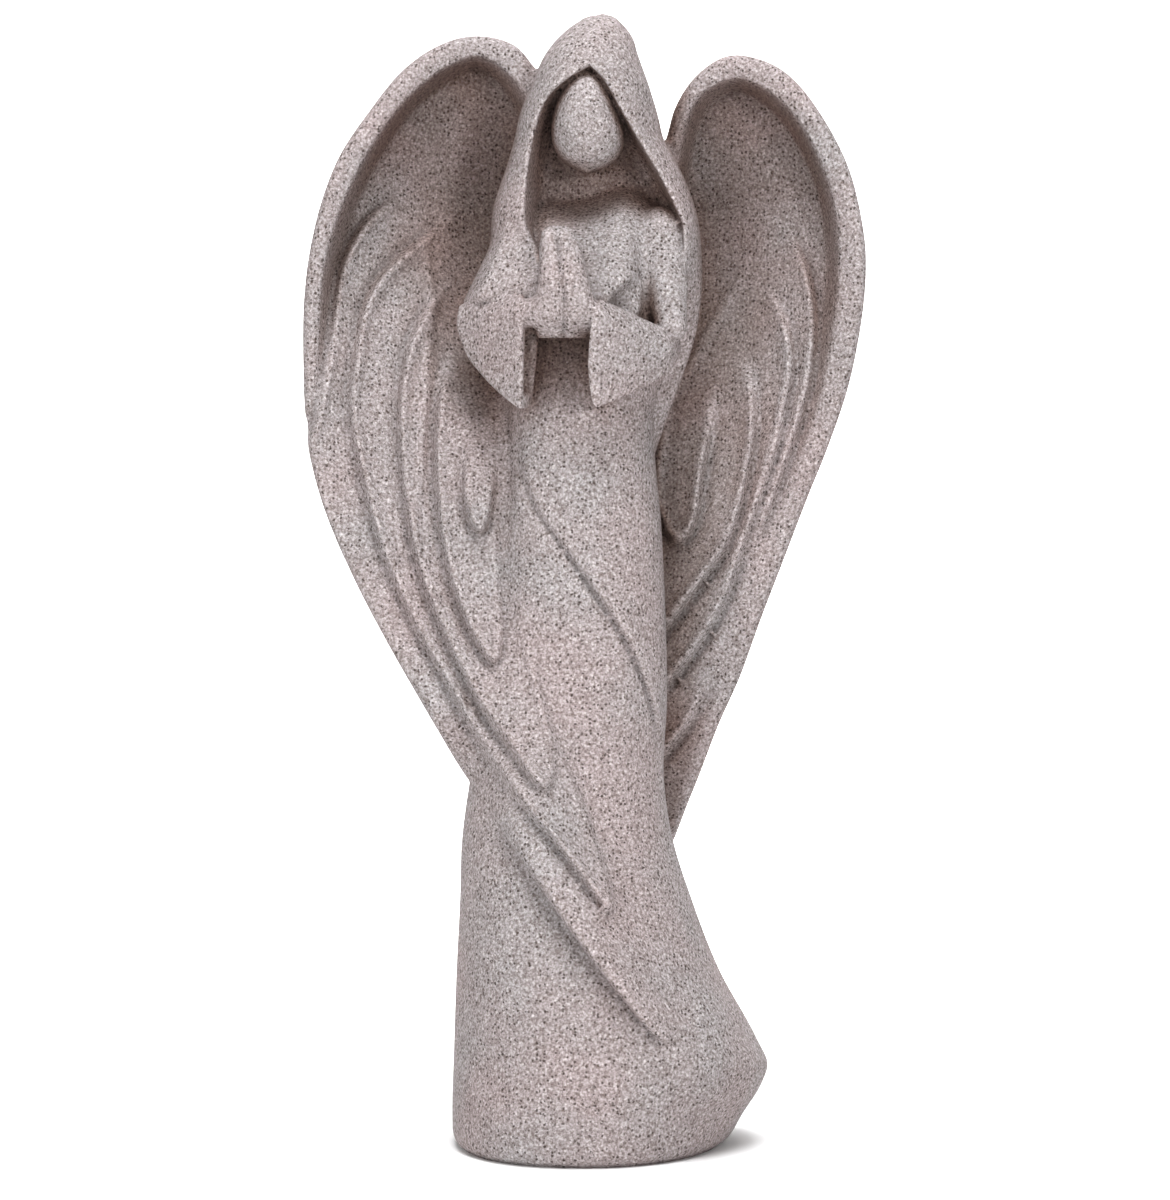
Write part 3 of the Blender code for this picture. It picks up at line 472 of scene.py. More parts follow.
LEFT_OUTLINE = [
    (560, 92), (535, 68), (517, 47), (490, 37), (460, 38), (430, 50), (400, 73),
    (368, 113), (340, 155), (322, 200), (310, 250), (304, 300), (303, 360),
    (307, 440), (321, 500), (350, 572), (385, 640), (428, 715), (463, 774),
    (510, 842), (564, 922), (617, 992), (654, 1036), (670, 1047),
]  # fmt: skip
LEFT_RETURN = [
    (680, 1038), (684, 1010), (660, 930), (628, 860), (600, 800), (575, 730),
    (550, 640), (540, 540), (545, 440), (552, 300), (556, 180), (560, 92),
]  # fmt: skip
LEFT_RIM = [
    (530, 116), (521, 96), (505, 74), (480, 59), (450, 68), (420, 90), (395, 117),
    (365, 163), (343, 212), (327, 265), (321, 330), (321, 376), (319, 397), (312, 409), (296, 417),
]  # fmt: skip
# Each feather: its edge from the root to the tip, the way back up under the next
# feather, the height of its step, the width over which it sinks back, and for an
# edge that runs out before its end, the length over which it does.
LEFT_FEATHERS = [
    ([(424, 172), (400, 190), (372, 212), (352, 238), (339, 268), (332, 305), (327, 350), (318, 405), (306, 440)],
     [(300, 470), (340, 560), (420, 560), (440, 300)], 9, 32),
    ([(462, 205), (430, 230), (400, 254), (378, 277), (363, 305), (354, 350), (348, 400), (352, 440),
      (362, 485), (378, 545), (410, 620), (440, 675), (463, 717), (507, 787), (555, 845), (594, 897), (606, 913)],
     [(616, 908), (612, 880), (590, 810), (560, 740), (530, 640), (515, 500), (510, 300)], 11, 30),
    ([(459, 270), (435, 292), (418, 320), (404, 355), (397, 410), (399, 466), (406, 520), (420, 580),
      (437, 622), (455, 662), (480, 708), (510, 750), (533, 783), (545, 790)],
     [(556, 784), (558, 755), (546, 700), (532, 620), (522, 500), (512, 350)], 12, 30),
    ([(461, 338), (446, 362), (437, 400), (433, 440), (434, 480), (437, 520), (446, 570), (458, 607),
      (472, 638), (486, 659), (495, 665)],
     [(503, 658), (506, 630), (503, 590), (500, 540), (512, 450), (510, 350)], 13, 40),
    ([(474, 420), (464, 455), (461, 485), (465, 512), (473, 531), (480, 535)],
     [(488, 531), (493, 515), (497, 490), (503, 450), (508, 400)], 14, 70),
]  # fmt: skip
# Depth of the hollow's floor and of the feathers' ground, before the steps.
LEFT_SPOTS = [
    (535, 90, 50), (450, 90, 54), (395, 150, 42), (350, 230, 24), (325, 320, 8),
    (480, 170, 80), (420, 240, 54), (510, 260, 82), (380, 340, 20), (460, 330, 40),
    (520, 380, 30), (312, 420, -12), (370, 450, -4), (430, 450, 0), (490, 450, -16),
    (335, 540, -24), (400, 560, -20), (460, 560, -26), (505, 560, -32),
    (385, 640, -34), (450, 640, -36), (435, 725, -52), (480, 720, -50),
]  # fmt: skip
# On the gown the wing is raised by these amounts above the gown's own front.
LEFT_ON_GOWN = [
    (500, 640, 10), (505, 700, 13), (545, 640, -8), (540, 740, 12), (580, 740, -8),
    (470, 790, 16), (510, 790, 22), (510, 842, 28), (560, 830, 19), (600, 800, -6),
    (564, 922, 35), (600, 900, 16), (630, 870, -8), (590, 955, 35), (617, 992, 32),
    (640, 960, 12), (668, 940, -8), (655, 1038, 21), (680, 1010, 2),
]  # fmt: skip

RIGHT_OUTLINE = [
    (640, 190), (652, 165), (665, 142), (676, 106), (697, 75), (728, 56), (762, 60),
    (791, 77), (822, 116), (849, 169), (864, 234), (866, 270), (862, 318),
    (849, 385), (829, 445), (809, 495), (786, 555), (761, 620), (740, 678),
    (718, 727), (697, 782), (674, 840), (648, 888), (612, 938), (568, 985),
    (520, 1022), (490, 1036),
]  # fmt: skip
RIGHT_RETURN = [
    (478, 1030), (484, 1004), (530, 935), (575, 860), (605, 780), (620, 700),
    (624, 600), (622, 450), (618, 320), (622, 230), (640, 190),
]  # fmt: skip
RIGHT_RIM = [
    (676, 186), (681, 163), (686, 135), (698, 102), (718, 86), (740, 81), (766, 93),
    (791, 116), (812, 150), (826, 184), (834, 220), (836, 265), (833, 315),
    (824, 380), (812, 430), (795, 480), (775, 535),
]  # fmt: skip
RIGHT_FEATHERS = [
    ([(770, 212), (784, 224), (799, 244), (811, 275), (817, 312), (816, 352), (810, 391), (797, 436),
      (782, 480), (768, 518), (752, 556), (738, 590)],
     [(640, 745), (640, 600), (660, 400)], 10, 30, 110),
    ([(756, 276), (773, 292), (786, 315), (793, 342), (794, 372), (788, 405), (779, 448), (764, 493),
      (744, 552), (728, 598), (708, 634), (688, 662), (664, 692)],
     [(640, 700), (640, 500), (680, 330)], 11, 28),
    ([(732, 348), (746, 362), (754, 380), (757, 412), (754, 450), (744, 500), (727, 548), (708, 576),
      (690, 600), (660, 640)],
     [(640, 640), (640, 450), (680, 360)], 12, 28),
    ([(719, 380), (714, 420), (709, 452), (704, 480), (701, 506), (694, 530), (682, 545)],
     [(671, 545), (662, 532), (650, 500), (650, 400)], 13, 40),
    ([(727, 655), (712, 684), (700, 706), (690, 724), (676, 742), (662, 760)],
     [(640, 790), (640, 600), (690, 640)], 9, 24),
]  # fmt: skip
RIGHT_SPOTS = [
    (640, 190, 74), (735, 100, 50), (790, 140, 42), (835, 230, 20), (700, 190, 82),
    (760, 220, 58), (700, 300, 78), (770, 320, 46), (845, 320, 8), (700, 420, 56),
    (760, 420, 34), (830, 420, 12), (690, 520, 42), (740, 520, 32), (795, 520, 20),
    (640, 420, 64), (640, 560, 54), (680, 600, 42), (720, 620, 36), (758, 620, 28),
    (680, 700, 46), (715, 715, 42), (690, 780, 54), (674, 835, 66), (640, 780, 62),
    (640, 890, 80), (590, 950, 90), (500, 1020, 100),
]  # fmt: skip
# Behind the gown the wing is raised by these amounts above the gown's own back.
RIGHT_ON_GOWN = [
    (620, 640, 6), (600, 720, 4), (580, 830, 2), (640, 760, 14), (655, 800, 16), (648, 870, 18),
    (612, 920, 19), (600, 860, 10), (568, 965, 19), (550, 920, 8), (520, 1005, 17), (495, 1020, 12),
    (505, 960, -6),
]  # fmt: skip
RIM_HEIGHT = [(30, 54), (100, 58), (200, 46), (300, 26), (360, 14), (400, 10), (430, 8), (520, 0), (600, 0)]
SHELL = [(30, 24), (300, 24), (500, 22), (800, 24), (1000, 26)]  # thickness of a wing


def feather_relief(u, v, feathers):
    """Steps and grooves of the feathers."""
    out = np.zeros(u.shape)
    for edge, back, height, sink, *fade in feathers:
        line = trace(edge, 12 * len(edge))
        gap, _, share = nearest(u, v, line)
        into = -region(u, v, np.vstack([line, np.asarray(back, float)]))
        d = np.where(into > 0, gap, -gap)
        length = np.linalg.norm(np.diff(line, axis=0), axis=1).sum()
        root = ramp(share * length, 0, 90)
        if fade:
            root = root * ramp((1 - share) * length, 0, fade[0])
        step = 1.2 * height * ramp(into, -2, 7) * np.exp(-gap / sink)
        step += 2.5 * np.exp(-(((into - 7) / 4.5) ** 2))
        groove = 2.8 * np.exp(-(((d + 4) / 3.5) ** 2)) * (1 - ramp(share, 0.97, 1.0))
        out += (step - groove) * root
    return out


def rim_relief(u, v, line, hand):
    gap, side, _ = nearest(u, v, trace(line, 160))
    d = -gap * side * hand
    return by_height(v, RIM_HEIGHT) * (1 - ramp(d, -5, 13))


def wing_maps(u, v):
    """For both wings: outline, front depth, back depth and their slopes on the front view."""
    maps = {}
    for hand in (1, -1):
        if hand > 0:
            ring = np.vstack([trace(LEFT_OUTLINE, 220)[:-1], trace(LEFT_RETURN, 60)[:-1]])
            rim, feathers = LEFT_RIM, LEFT_FEATHERS
            spots = list(LEFT_SPOTS)
            for pu, pv, up in LEFT_ON_GOWN:
                ground = gown_face(np.array([float(pu)]), np.array([float(pv)]))[0]
                spots.append((pu, pv, ground - up))
        else:
            ring = np.vstack([trace(RIGHT_OUTLINE, 220)[:-1], trace(RIGHT_RETURN, 60)[:-1]])
            rim, feathers = RIGHT_RIM, RIGHT_FEATHERS
            spots = list(RIGHT_SPOTS)
        edge = region(u, v, ring)
        ground = sheet(u, v, spots)
        relief = feather_relief(u, v, feathers)
        near = ground - rim_relief(u, v, rim, hand) - relief
        shell = by_height(v, SHELL)
        curl = 0.7 * by_height(v, RIM_HEIGHT) * np.exp(-((np.minimum(edge, 0) / 28) ** 2))
        far = ground + shell - curl + 0.4 * relief
        if hand > 0:
            # Over the gown the wing goes down into the gown's body.
            over = ramp(u - by_height(v, GOWN_LEFT), 4, 40) * ramp(v, 520, 640)
            far = far + over * 70
        else:
            behind = [
                (pu, pv, gown_face(np.array([float(pu)]), np.array([float(pv)]), True)[0] + up)
                for pu, pv, up in RIGHT_ON_GOWN
            ]
            free = [
                (pu, pv, pw + 24) for pu, pv, pw in RIGHT_SPOTS if pu > 660 or pv < 600
            ]
            far = sheet(u, v, free + behind) - curl + 0.4 * relief
        far = np.maximum(far, near + 16)
        gu, gv = np.gradient(ground, u[:, 0], v[0, :])
        tilt = np.sqrt(1 + np.clip(gu, -1.5, 1.5) ** 2 + np.clip(gv, -1.5, 1.5) ** 2)
        maps[hand] = (edge, near, far, tilt)
    return maps


def wing(w, edge, near, far, tilt):
    out = meet((near - w) / tilt, (w - far) / tilt, 10.0)
    return meet(out, edge, 14.0)


# ---------------------------------------------------------------- the whole figure


def place(u, v, w):
    """Drawing units to millimetres: x to the right, y to the back, z up."""
    far = 1 + w * UNIT / EYE
    return (
        (u - MID_U) * UNIT * far,
        w * UNIT,
        MID_HEIGHT + (MID_V - v) * UNIT * far,
    )


def window(us, ws, u_span, w_span):
    return (
        slice(*np.searchsorted(us, u_span)),
        slice(None),
        slice(*np.searchsorted(ws, w_span)),
    )


def upper_body(u, v, w, maps):
    """Hood, face, chest, arms and hands."""
    body = join(torso(u, v, w), chest(u, v, w), 8.0)
    body = join(body, limb(u, v, w, RIGHT_UPPER), 7.0)
    body = join(body, hood(u, v, w, maps["opening"], maps["crease"]), 4.0)
    body = join(body, face(u, v, w), 2.0)
    sleeve = facets(u, v, w, LEFT_CUFF_PLANES)
    sleeve = meet(sleeve, -facets(u, v, w, LEFT_HOLLOW_PLANES), 3.0)
    arm = facets(u, v, w, LEFT_UPPER_PLANES, 6.0)
    arm = meet(arm, -limb(u, v, w, LEFT_DIP), 6.0)
    body = join(body, join(arm, sleeve, 3.0), 4.0)
    sleeve = facets(u, v, w, RIGHT_CUFF_PLANES)
    sleeve = meet(sleeve, -facets(u, v, w, RIGHT_HOLLOW_PLANES), 3.0)
    body = join(body, sleeve, 2.5)
    pair = join(hands(u, v, w), limb(u, v, w, LEFT_WRIST), 4.0)
    pair = join(pair, limb(u, v, w, RIGHT_WRIST), 4.0)
    return join(body, pair, 3.0)


def figure(us, vs, ws, maps):
    u, v, w = us[:, None, None], vs[None, :, None], ws[None, None, :]
    maps = {
        key: [m[:, :, None] for m in value] if isinstance(value, list) else value[:, :, None]
        for key, value in maps.items()
    }
    out = np.full((len(us), len(vs), len(ws)), 60.0, np.float32)
    if vs[-1] >= 330:
        at = window(us, ws, (438, 784), (-172, 216))
        column_part = gown(u[at[0]], v, w[:, :, at[2]], maps["gown"][at[0]])
        out[at] = np.minimum(np.maximum(column_part, 330 - v), 60)
    for hand in (1, -1):
        out = join(out, wing(w, *maps[hand]), 5.0)
    if vs[0] < 470:
        at = window(us, ws, (438, 724), (-150, 84))
        here = {key: maps[key][at[0]] for key in ("opening", "crease")}
        out[at] = join(out[at], upper_body(u[at[0]], v, w[:, :, at[2]], here), 4.0)
    ground = -place(u, v, w)[2] / UNIT
    return meet(out, ground + 0 * u, 16.0).astype(np.float32)


def sample(step):
    """The field of the whole figure on a grid, worked out in bands of height lines."""
    us = np.arange(284.0, 886.0, step).astype(np.float32)
    vs = np.arange(0.0, 1192.0, step).astype(np.float32)
    ws = np.arange(-172.0, 216.0, step).astype(np.float32)
    u, v = np.meshgrid(us.astype(float), vs.astype(float), indexing="ij")
    maps = wing_maps(u, v)
    maps["gown"] = gown_relief(u, v)
    maps["opening"] = region(u, v, opening_ring())
    maps["crease"] = hood_relief(u, v)
    out = np.empty((len(us), len(vs), len(ws)), np.float32)

    def band(start):
        rows = slice(start, start + 16)
        cut = {
            key: [m[:, rows].astype(np.float32) for m in value]
            if isinstance(value, tuple)
            else value[:, rows].astype(np.float32)
            for key, value in maps.items()
        }
        out[:, rows] = figure(us, vs[rows], ws, cut)

    with ThreadPoolExecutor(4) as pool:
        list(pool.map(band, range(0, len(vs), 16)))
    return us, vs, ws, out


def single_sheet_codes():
    """For each pattern of filled cell corners, whether the surface in the cell is one sheet."""
    links = [
        (a, b) for a in range(8) for b in range(a + 1, 8) if bin(a ^ b).count("1") == 1
    ]
    good = np.zeros(256, bool)
    for code in range(256):
        parts = 0
        for filled in (0, 1):
            left = {k for k in range(8) if (code >> k & 1) == filled}
            while left:
                parts += 1
                stack = [left.pop()]
                while stack:
                    here = stack.pop()
                    for a, b in links:
                        other = b if a == here else a if b == here else None
                        if other in left:
                            left.discard(other)
                            stack.append(other)
        good[code] = parts <= 2
    return good


def cell_codes(field):
    filled = field < 0
    nx, ny, nz = (n - 1 for n in field.shape)
    code = np.zeros((nx, ny, nz), np.uint8)
    for k in range(8):
        i, j, m = k & 1, k >> 1 & 1, k >> 2 & 1
        code |= filled[i : i + nx, j : j + ny, m : m + nz].astype(np.uint8) << k
    return code


def net(field):
    """The zero surface as four-sided faces: one point in each cell that it crosses."""
    good = single_sheet_codes()
    for _ in range(40):
        code = cell_codes(field)
        bad = np.argwhere(~good[code])
        if not len(bad):
            break
        for k in range(8):
            at = tuple((bad + [k & 1, k >> 1 & 1, k >> 2 & 1]).T)
            field[at] = np.minimum(field[at], -0.05)
    cells = np.argwhere((code > 0) & (code < 255))
    index = np.full(code.shape, -1, np.int32)
    index[tuple(cells.T)] = np.arange(len(cells))
    total = np.zeros((len(cells), 3))
    count = np.zeros(len(cells))
    corner = [np.array([k & 1, k >> 1 & 1, k >> 2 & 1]) for k in range(8)]
    value = [field[tuple((cells + c).T)].astype(float) for c in corner]
    for a in range(8):
        for axis in range(3):
            b = a | 1 << axis
            if b == a:
                continue
            cross = (value[a] < 0) != (value[b] < 0)
            t = value[a][cross] / (value[a][cross] - value[b][cross])
            total[cross] += corner[a] + t[:, None] * (corner[b] - corner[a])
            count[cross] += 1
    points = cells + total / count[:, None]
    quads = []
    for axis in range(3):
        p, q = [k for k in range(3) if k != axis]
        low = [slice(None)] * 3
        high = [slice(None)] * 3
        low[axis] = slice(None, -1)
        high[axis] = slice(1, None)
        before, after = field[tuple(low)] < 0, field[tuple(high)] < 0
        at = np.argwhere(before != after)
        at = at[(at[:, p] > 0) & (at[:, q] > 0)]
        step_p, step_q = np.eye(3, dtype=int)[p], np.eye(3, dtype=int)[q]
        ring = [at - step_p - step_q, at - step_q, at, at - step_p]
        quad = np.stack([index[tuple(r.T)] for r in ring], axis=1)
        flip = before[tuple(at.T)] ^ (axis == 1)
        quads.append(np.where(flip[:, None], quad, quad[:, ::-1]))
    return points, np.vstack(quads)


def relax(points, quads, rounds):
    """Evens out the marks of the grid without shrinking the figure."""
    ends = np.vstack([quads[:, [k, (k + 1) % 4]] for k in range(4)])
    degree = np.bincount(ends.ravel(), minlength=len(points)).astype(float)
    for step in [s for _ in range(rounds) for s in (0.5, -0.52)]:
        total = np.stack(
            [
                np.bincount(ends[:, 0], points[ends[:, 1], k], len(points))
                + np.bincount(ends[:, 1], points[ends[:, 0], k], len(points))
                for k in range(3)
            ],
            axis=1,
        )
        points = points + step * (total / degree[:, None] - points)
    return points


def largest(points, quads):
    """Leaves out crumbs that are not joined to the figure."""
    label = np.arange(len(points))
    while True:
        low = label[quads].min(axis=1)
        new = label.copy()
        for k in range(4):
            np.minimum.at(new, quads[:, k], low)
        new = new[new]
        if (new == label).all():
            break
        label = new
    main = np.bincount(label).argmax()
    keep = label == main
    order = np.cumsum(keep) - 1
    return points[keep], order[quads[keep[quads[:, 0]]]]


# ---------------------------------------------------------------- the stone piece


def stone_mesh(step, triangles):
    """The figurine as a fine mesh in metres, and how far it was moved to centre it."""
    us, vs, ws, field = sample(step)
    points, quads = net(field)
    points, quads = largest(points, quads)
    points = relax(points, quads, 2)
    xyz = np.stack(
        place(
            us[0] + points[:, 0] * step,
            vs[0] + points[:, 1] * step,
            ws[0] + points[:, 2] * step,
        ),
        axis=1,
    )
    xyz[:, 2] = np.where(xyz[:, 2] < 0.3, 0.0, xyz[:, 2])
    low, high = xyz.min(axis=0), xyz.max(axis=0)
    move = np.array([(low[0] + high[0]) / 2, (low[1] + high[1]) / 2, low[2]])
    mesh = bpy.data.meshes.new("angel_figurine_stone")
    mesh.from_pydata(((xyz - move) / 1000).tolist(), [], quads.tolist())
    mesh.update()
    obj = bpy.data.objects.new("angel_figurine_stone", mesh)
    bpy.context.scene.collection.objects.link(obj)
    fewer = obj.modifiers.new("fewer", "DECIMATE")
    fewer.ratio = triangles / (2 * len(quads))
    fewer.use_collapse_triangulate = True
    bpy.context.view_layer.update()
    done = bpy.data.meshes.new_from_object(
        obj.evaluated_get(bpy.context.evaluated_depsgraph_get())
    )
    obj.modifiers.clear()
    obj.data = done
    done.name = "angel_figurine_stone"
    done.polygons.foreach_set("use_smooth", np.ones(len(done.polygons), bool))
    done.update()
    bpy.data.meshes.remove(mesh)
    return obj, move / 1000


def mark_ridges(obj):
    """Stores how ridged (above 0.5) or hollow (below 0.5) the carving is at each point."""
    mesh = obj.data
    n = len(mesh.vertices)
    co = np.empty(n * 3)
    mesh.vertices.foreach_get("co", co)
    co = co.reshape(-1, 3)
    normal = np.empty(n * 3)
    mesh.vertices.foreach_get("normal", normal)
    normal = normal.reshape(-1, 3)
    ends = np.empty(len(mesh.edges) * 2, np.int64)
    mesh.edges.foreach_get("vertices", ends)
    ends = ends.reshape(-1, 2)
    degree = np.bincount(ends.ravel(), minlength=n)

    def around(value):
        return (
            np.bincount(ends[:, 0], value[ends[:, 1]], n)
            + np.bincount(ends[:, 1], value[ends[:, 0]], n)
        ) / degree

    mean = np.stack([around(co[:, k]) for k in range(3)], axis=1)
    length = np.linalg.norm(co[ends[:, 0]] - co[ends[:, 1]], axis=1)
    reach = (
        np.bincount(ends[:, 0], length, n) + np.bincount(ends[:, 1], length, n)
    ) / degree
    bend = ((co - mean) * normal).sum(axis=1) / reach
    for _ in range(3):
        bend = 0.4 * bend + 0.6 * around(bend)
    value = np.clip(0.5 + 2.2 * bend, 0, 1).astype(np.float32)
    mesh.attributes.new("ridge", "FLOAT", "POINT").data.foreach_set("value", value)


def mark_hollows(obj, solid):
    """Stores how open to the room each point is, from 0 deep in a hollow to 1 on a free side; the stone material paints
    shade into the hollows from this.
    """
    tree = BVHTree.FromPolygons(
        [v.co.copy() for v in solid.data.vertices],
        [tuple(p.vertices) for p in solid.data.polygons],
    )
    mesh = obj.data
    n = len(mesh.vertices)
    normal = np.empty(n * 3)
    mesh.vertices.foreach_get("normal", normal)
    normal = normal.reshape(-1, 3)
    k = np.arange(44) + 0.5
    polar = np.arccos(1 - 2 * k / 44)
    turn = np.pi * (1 + 5**0.5) * k
    rays = np.stack(
        [np.cos(turn) * np.sin(polar), np.sin(turn) * np.sin(polar), np.cos(polar)], axis=1
    )
    lines = [Vector(r) for r in rays]
    value = np.ones(n)
    for v in mesh.vertices:
        lean = rays @ normal[v.index]
        start = v.co + 0.0015 * v.normal
        weight = seen = 0.0
        for j in np.nonzero(lean > 0.1)[0].tolist():
            weight += lean[j]
            if tree.ray_cast(start, lines[j], 0.12)[0] is None:
                seen += lean[j]
        value[v.index] = seen / weight
    ends = np.empty(len(mesh.edges) * 2, np.int64)
    mesh.edges.foreach_get("vertices", ends)
    ends = ends.reshape(-1, 2)
    degree = np.bincount(ends.ravel(), minlength=n)
    for _ in range(8):
        around = (
            np.bincount(ends[:, 0], value[ends[:, 1]], n)
            + np.bincount(ends[:, 1], value[ends[:, 0]], n)
        ) / degree
        value = 0.4 * value + 0.6 * around
    mesh.attributes.new("open", "FLOAT", "POINT").data.foreach_set("value", value.astype(np.float32))


class Nodes:
    """A short way to add and link shader nodes."""

    def __init__(self, tree):
        self.tree = tree
        tree.nodes.clear()

    def add(self, kind, inputs=None, **settings):
        node = self.tree.nodes.new(kind)
        for key, value in settings.items():
            setattr(node, key, value)
        for key, value in (inputs or {}).items():
            socket = node.inputs[key]
            if isinstance(value, bpy.types.NodeSocket):
                self.tree.links.new(value, socket)
            else:
                socket.default_value = value
        return node

    def ramp(self, value, stops, smooth_steps=False):
        node = self.add("ShaderNodeValToRGB", {"Fac": value})
        line = node.color_ramp
        line.interpolation = "EASE" if smooth_steps else "LINEAR"
        while len(line.elements) > 1:
            line.elements.remove(line.elements[-1])
        line.elements[0].position, line.elements[0].color = stops[0]
        for position, colour in stops[1:]:
            line.elements.new(position).color = colour
        return node.outputs["Color"]

    def mix(self, share, a, b, kind="MIX"):
        node = self.add("ShaderNodeMix", data_type="RGBA", blend_type=kind)
        for socket, value in zip((node.inputs[0], node.inputs[6], node.inputs[7]), (share, a, b)):
            if isinstance(value, bpy.types.NodeSocket):
                self.tree.links.new(value, socket)
            else:
                socket.default_value = value
        return node.outputs[2]

    def maths(self, operation, *values, clamp=False):
        node = self.add("ShaderNodeMath", operation=operation, use_clamp=clamp)
        for socket, value in zip(node.inputs, values):
            if isinstance(value, bpy.types.NodeSocket):
                self.tree.links.new(value, socket)
            else:
                socket.default_value = value
        return node.outputs[0]


def grey(value):
    return (value, value, value, 1.0)


def speckled_stone():
    """Matt cast stone: a warm pinkish grey ground with fine dark and pale grains."""
    material = bpy.data.materials.new("speckled_stone")
    material.use_nodes = True
    n = Nodes(material.node_tree)
    where = n.add("ShaderNodeTexCoord").outputs["Object"]
    place_mm = n.add(
        "ShaderNodeMapping", {"Vector": where, "Scale": (1000.0, 1000.0, 1000.0)}
    ).outputs["Vector"]

    def noise(size, detail=2.0, rough=0.5, shift=0.0):
        at = n.add("ShaderNodeMapping", {"Vector": place_mm, "Location": (shift, 2 * shift, -shift)})
        return n.add(
            "ShaderNodeTexNoise",
            {"Vector": at.outputs["Vector"], "Scale": 1.0 / size, "Detail": detail, "Roughness": rough},
        ).outputs["Fac"]

    def grains(size, shift):
        at = n.add("ShaderNodeMapping", {"Vector": place_mm, "Location": (shift, -shift, shift)})
        wobble = n.add(
            "ShaderNodeTexNoise", {"Vector": at.outputs["Vector"], "Scale": 1.6, "Detail": 1.0}
        ).outputs["Color"]
        moved = n.add(
            "ShaderNodeVectorMath",
            {0: wobble, 1: (0.55, 0.55, 0.55)},
            operation="MULTIPLY",
        ).outputs["Vector"]
        at = n.add(
            "ShaderNodeVectorMath", {0: at.outputs["Vector"], 1: moved}, operation="ADD"
        ).outputs["Vector"]
        return n.add("ShaderNodeTexVoronoi", {"Vector": at, "Scale": 1.0 / size}, voronoi_dimensions="3D")

    ground = n.ramp(
        noise(0.62, 3.0, 0.68),
        [(0.30, GROUND_DARK), (0.5, GROUND_MID), (0.70, GROUND_PALE)],
    )
    tint = n.ramp(noise(26.0, 2.0, 0.5, 31.0), [(0.35, (1.03, 0.985, 0.975, 1)), (0.65, (0.975, 1.005, 1.0, 1))])
    ground = n.mix(1.0, ground, tint, "MULTIPLY")
    fine = n.ramp(noise(0.5, 1.0, 0.5, 7.0), [(0.3, grey(0.86)), (0.7, grey(1.13))])
    ground = n.mix(0.8, ground, fine, "MULTIPLY")

    dark = grains(0.85, 11.0)
    chosen = n.ramp(
        n.add("ShaderNodeSeparateColor", {"Color": dark.outputs["Color"]}).outputs[0],
        [(0.0, grey(0)), (0.54, grey(0)), (0.66, grey(0.7)), (0.9, grey(1))],
    )
    spot = n.ramp(dark.outputs["Distance"], [(0.0, grey(1)), (0.28, grey(0.95)), (0.42, grey(0))])
    dark_share = n.maths("MULTIPLY", n.maths("MULTIPLY", chosen, spot), DARK_GRAINS)
    body = n.mix(dark_share, ground, DARK)

    patch = n.ramp(noise(0.75, 2.0, 0.6, -19.0), [(0.52, grey(0)), (0.68, grey(1))])
    patch_share = n.maths("MULTIPLY", patch, 0.42)
    body = n.mix(patch_share, body, DARK_SOFT)

    pale = grains(0.8, -23.0)
    chosen = n.ramp(
        n.add("ShaderNodeSeparateColor", {"Color": pale.outputs["Color"]}).outputs[1],
        [(0.0, grey(0)), (0.70, grey(0)), (0.76, grey(1))],
    )
    spot = n.ramp(pale.outputs["Distance"], [(0.0, grey(1)), (0.22, grey(0.8)), (0.40, grey(0))])
    pale_share = n.maths("MULTIPLY", n.maths("MULTIPLY", chosen, spot), 0.45)
    body = n.mix(pale_share, body, PALE)

    # Painted highlight and shade: ridges are painted a little paler and the bottoms of the grooves darker, standing in
    # for how light falls on the carving.
    ridge = n.add("ShaderNodeAttribute", attribute_name="ridge").outputs["Fac"]
    painted_shading = n.ramp(ridge, [(0.18, grey(0.66)), (0.46, grey(1.0)), (0.54, grey(1.0)), (0.85, grey(1.16))])
    body = n.mix(1.0, body, painted_shading, "MULTIPLY")

    # Painted shade: deep hollows, which the light reaches less, are painted a darker, browner tone.
    room = n.add("ShaderNodeAttribute", attribute_name="open").outputs["Fac"]
    painted_shading = n.ramp(room, [(0.30, HOLLOW_PAINTED_SHADE), (0.74, (1.0, 1.0, 1.0, 1))])
    body = n.mix(1.0, body, painted_shading, "MULTIPLY")

    rough = n.ramp(noise(0.9, 2.0, 0.5, 3.0), [(0.3, grey(0.78)), (0.7, grey(0.94))])
    height = n.maths(
        "ADD",
        n.maths("MULTIPLY", noise(0.55, 2.0, 0.6, 5.0), 0.8),
        n.maths("MULTIPLY", noise(2.4, 2.0, 0.5, 9.0), 0.9),
    )
    bump = n.add(
        "ShaderNodeBump",
        {"Height": height, "Strength": 0.55, "Distance": 0.00022},
    ).outputs["Normal"]
    shader = n.add(
        "ShaderNodeBsdfPrincipled",
        {"Base Color": body, "Roughness": rough, "Normal": bump, "Specular IOR Level": 0.35},
    )
    n.add("ShaderNodeOutputMaterial", {"Surface": shader.outputs["BSDF"]})
    return material


def pale_surface(obj):
    """Matt white; it glows a little far behind the figure, like a lit studio cove."""
    material = bpy.data.materials.new("pale_floor")
    material.use_nodes = True
    n = Nodes(material.node_tree)
    where = n.add("ShaderNodeTexCoord").outputs["Object"]
    noise = n.add("ShaderNodeTexNoise", {"Vector": where, "Scale": 6.0, "Detail": 3.0}).outputs["Fac"]
    colour = n.ramp(noise, [(0.3, grey(0.86)), (0.7, grey(0.875))])
    behind = n.add("ShaderNodeSeparateXYZ", {"Vector": where}).outputs["Y"]
    glow = n.ramp(behind, [(COVE_NEAR, grey(0)), (COVE_FAR, grey(1))])
    shader = n.add(
        "ShaderNodeBsdfPrincipled",
        {
            "Base Color": colour, "Roughness": 0.9, "Specular IOR Level": 0.1,
            "Emission Color": glow, "Emission Strength": COVE_GLOW,
        },
    )
    n.add("ShaderNodeOutputMaterial", {"Surface": shader.outputs["BSDF"]})
    obj.data.materials.append(material)


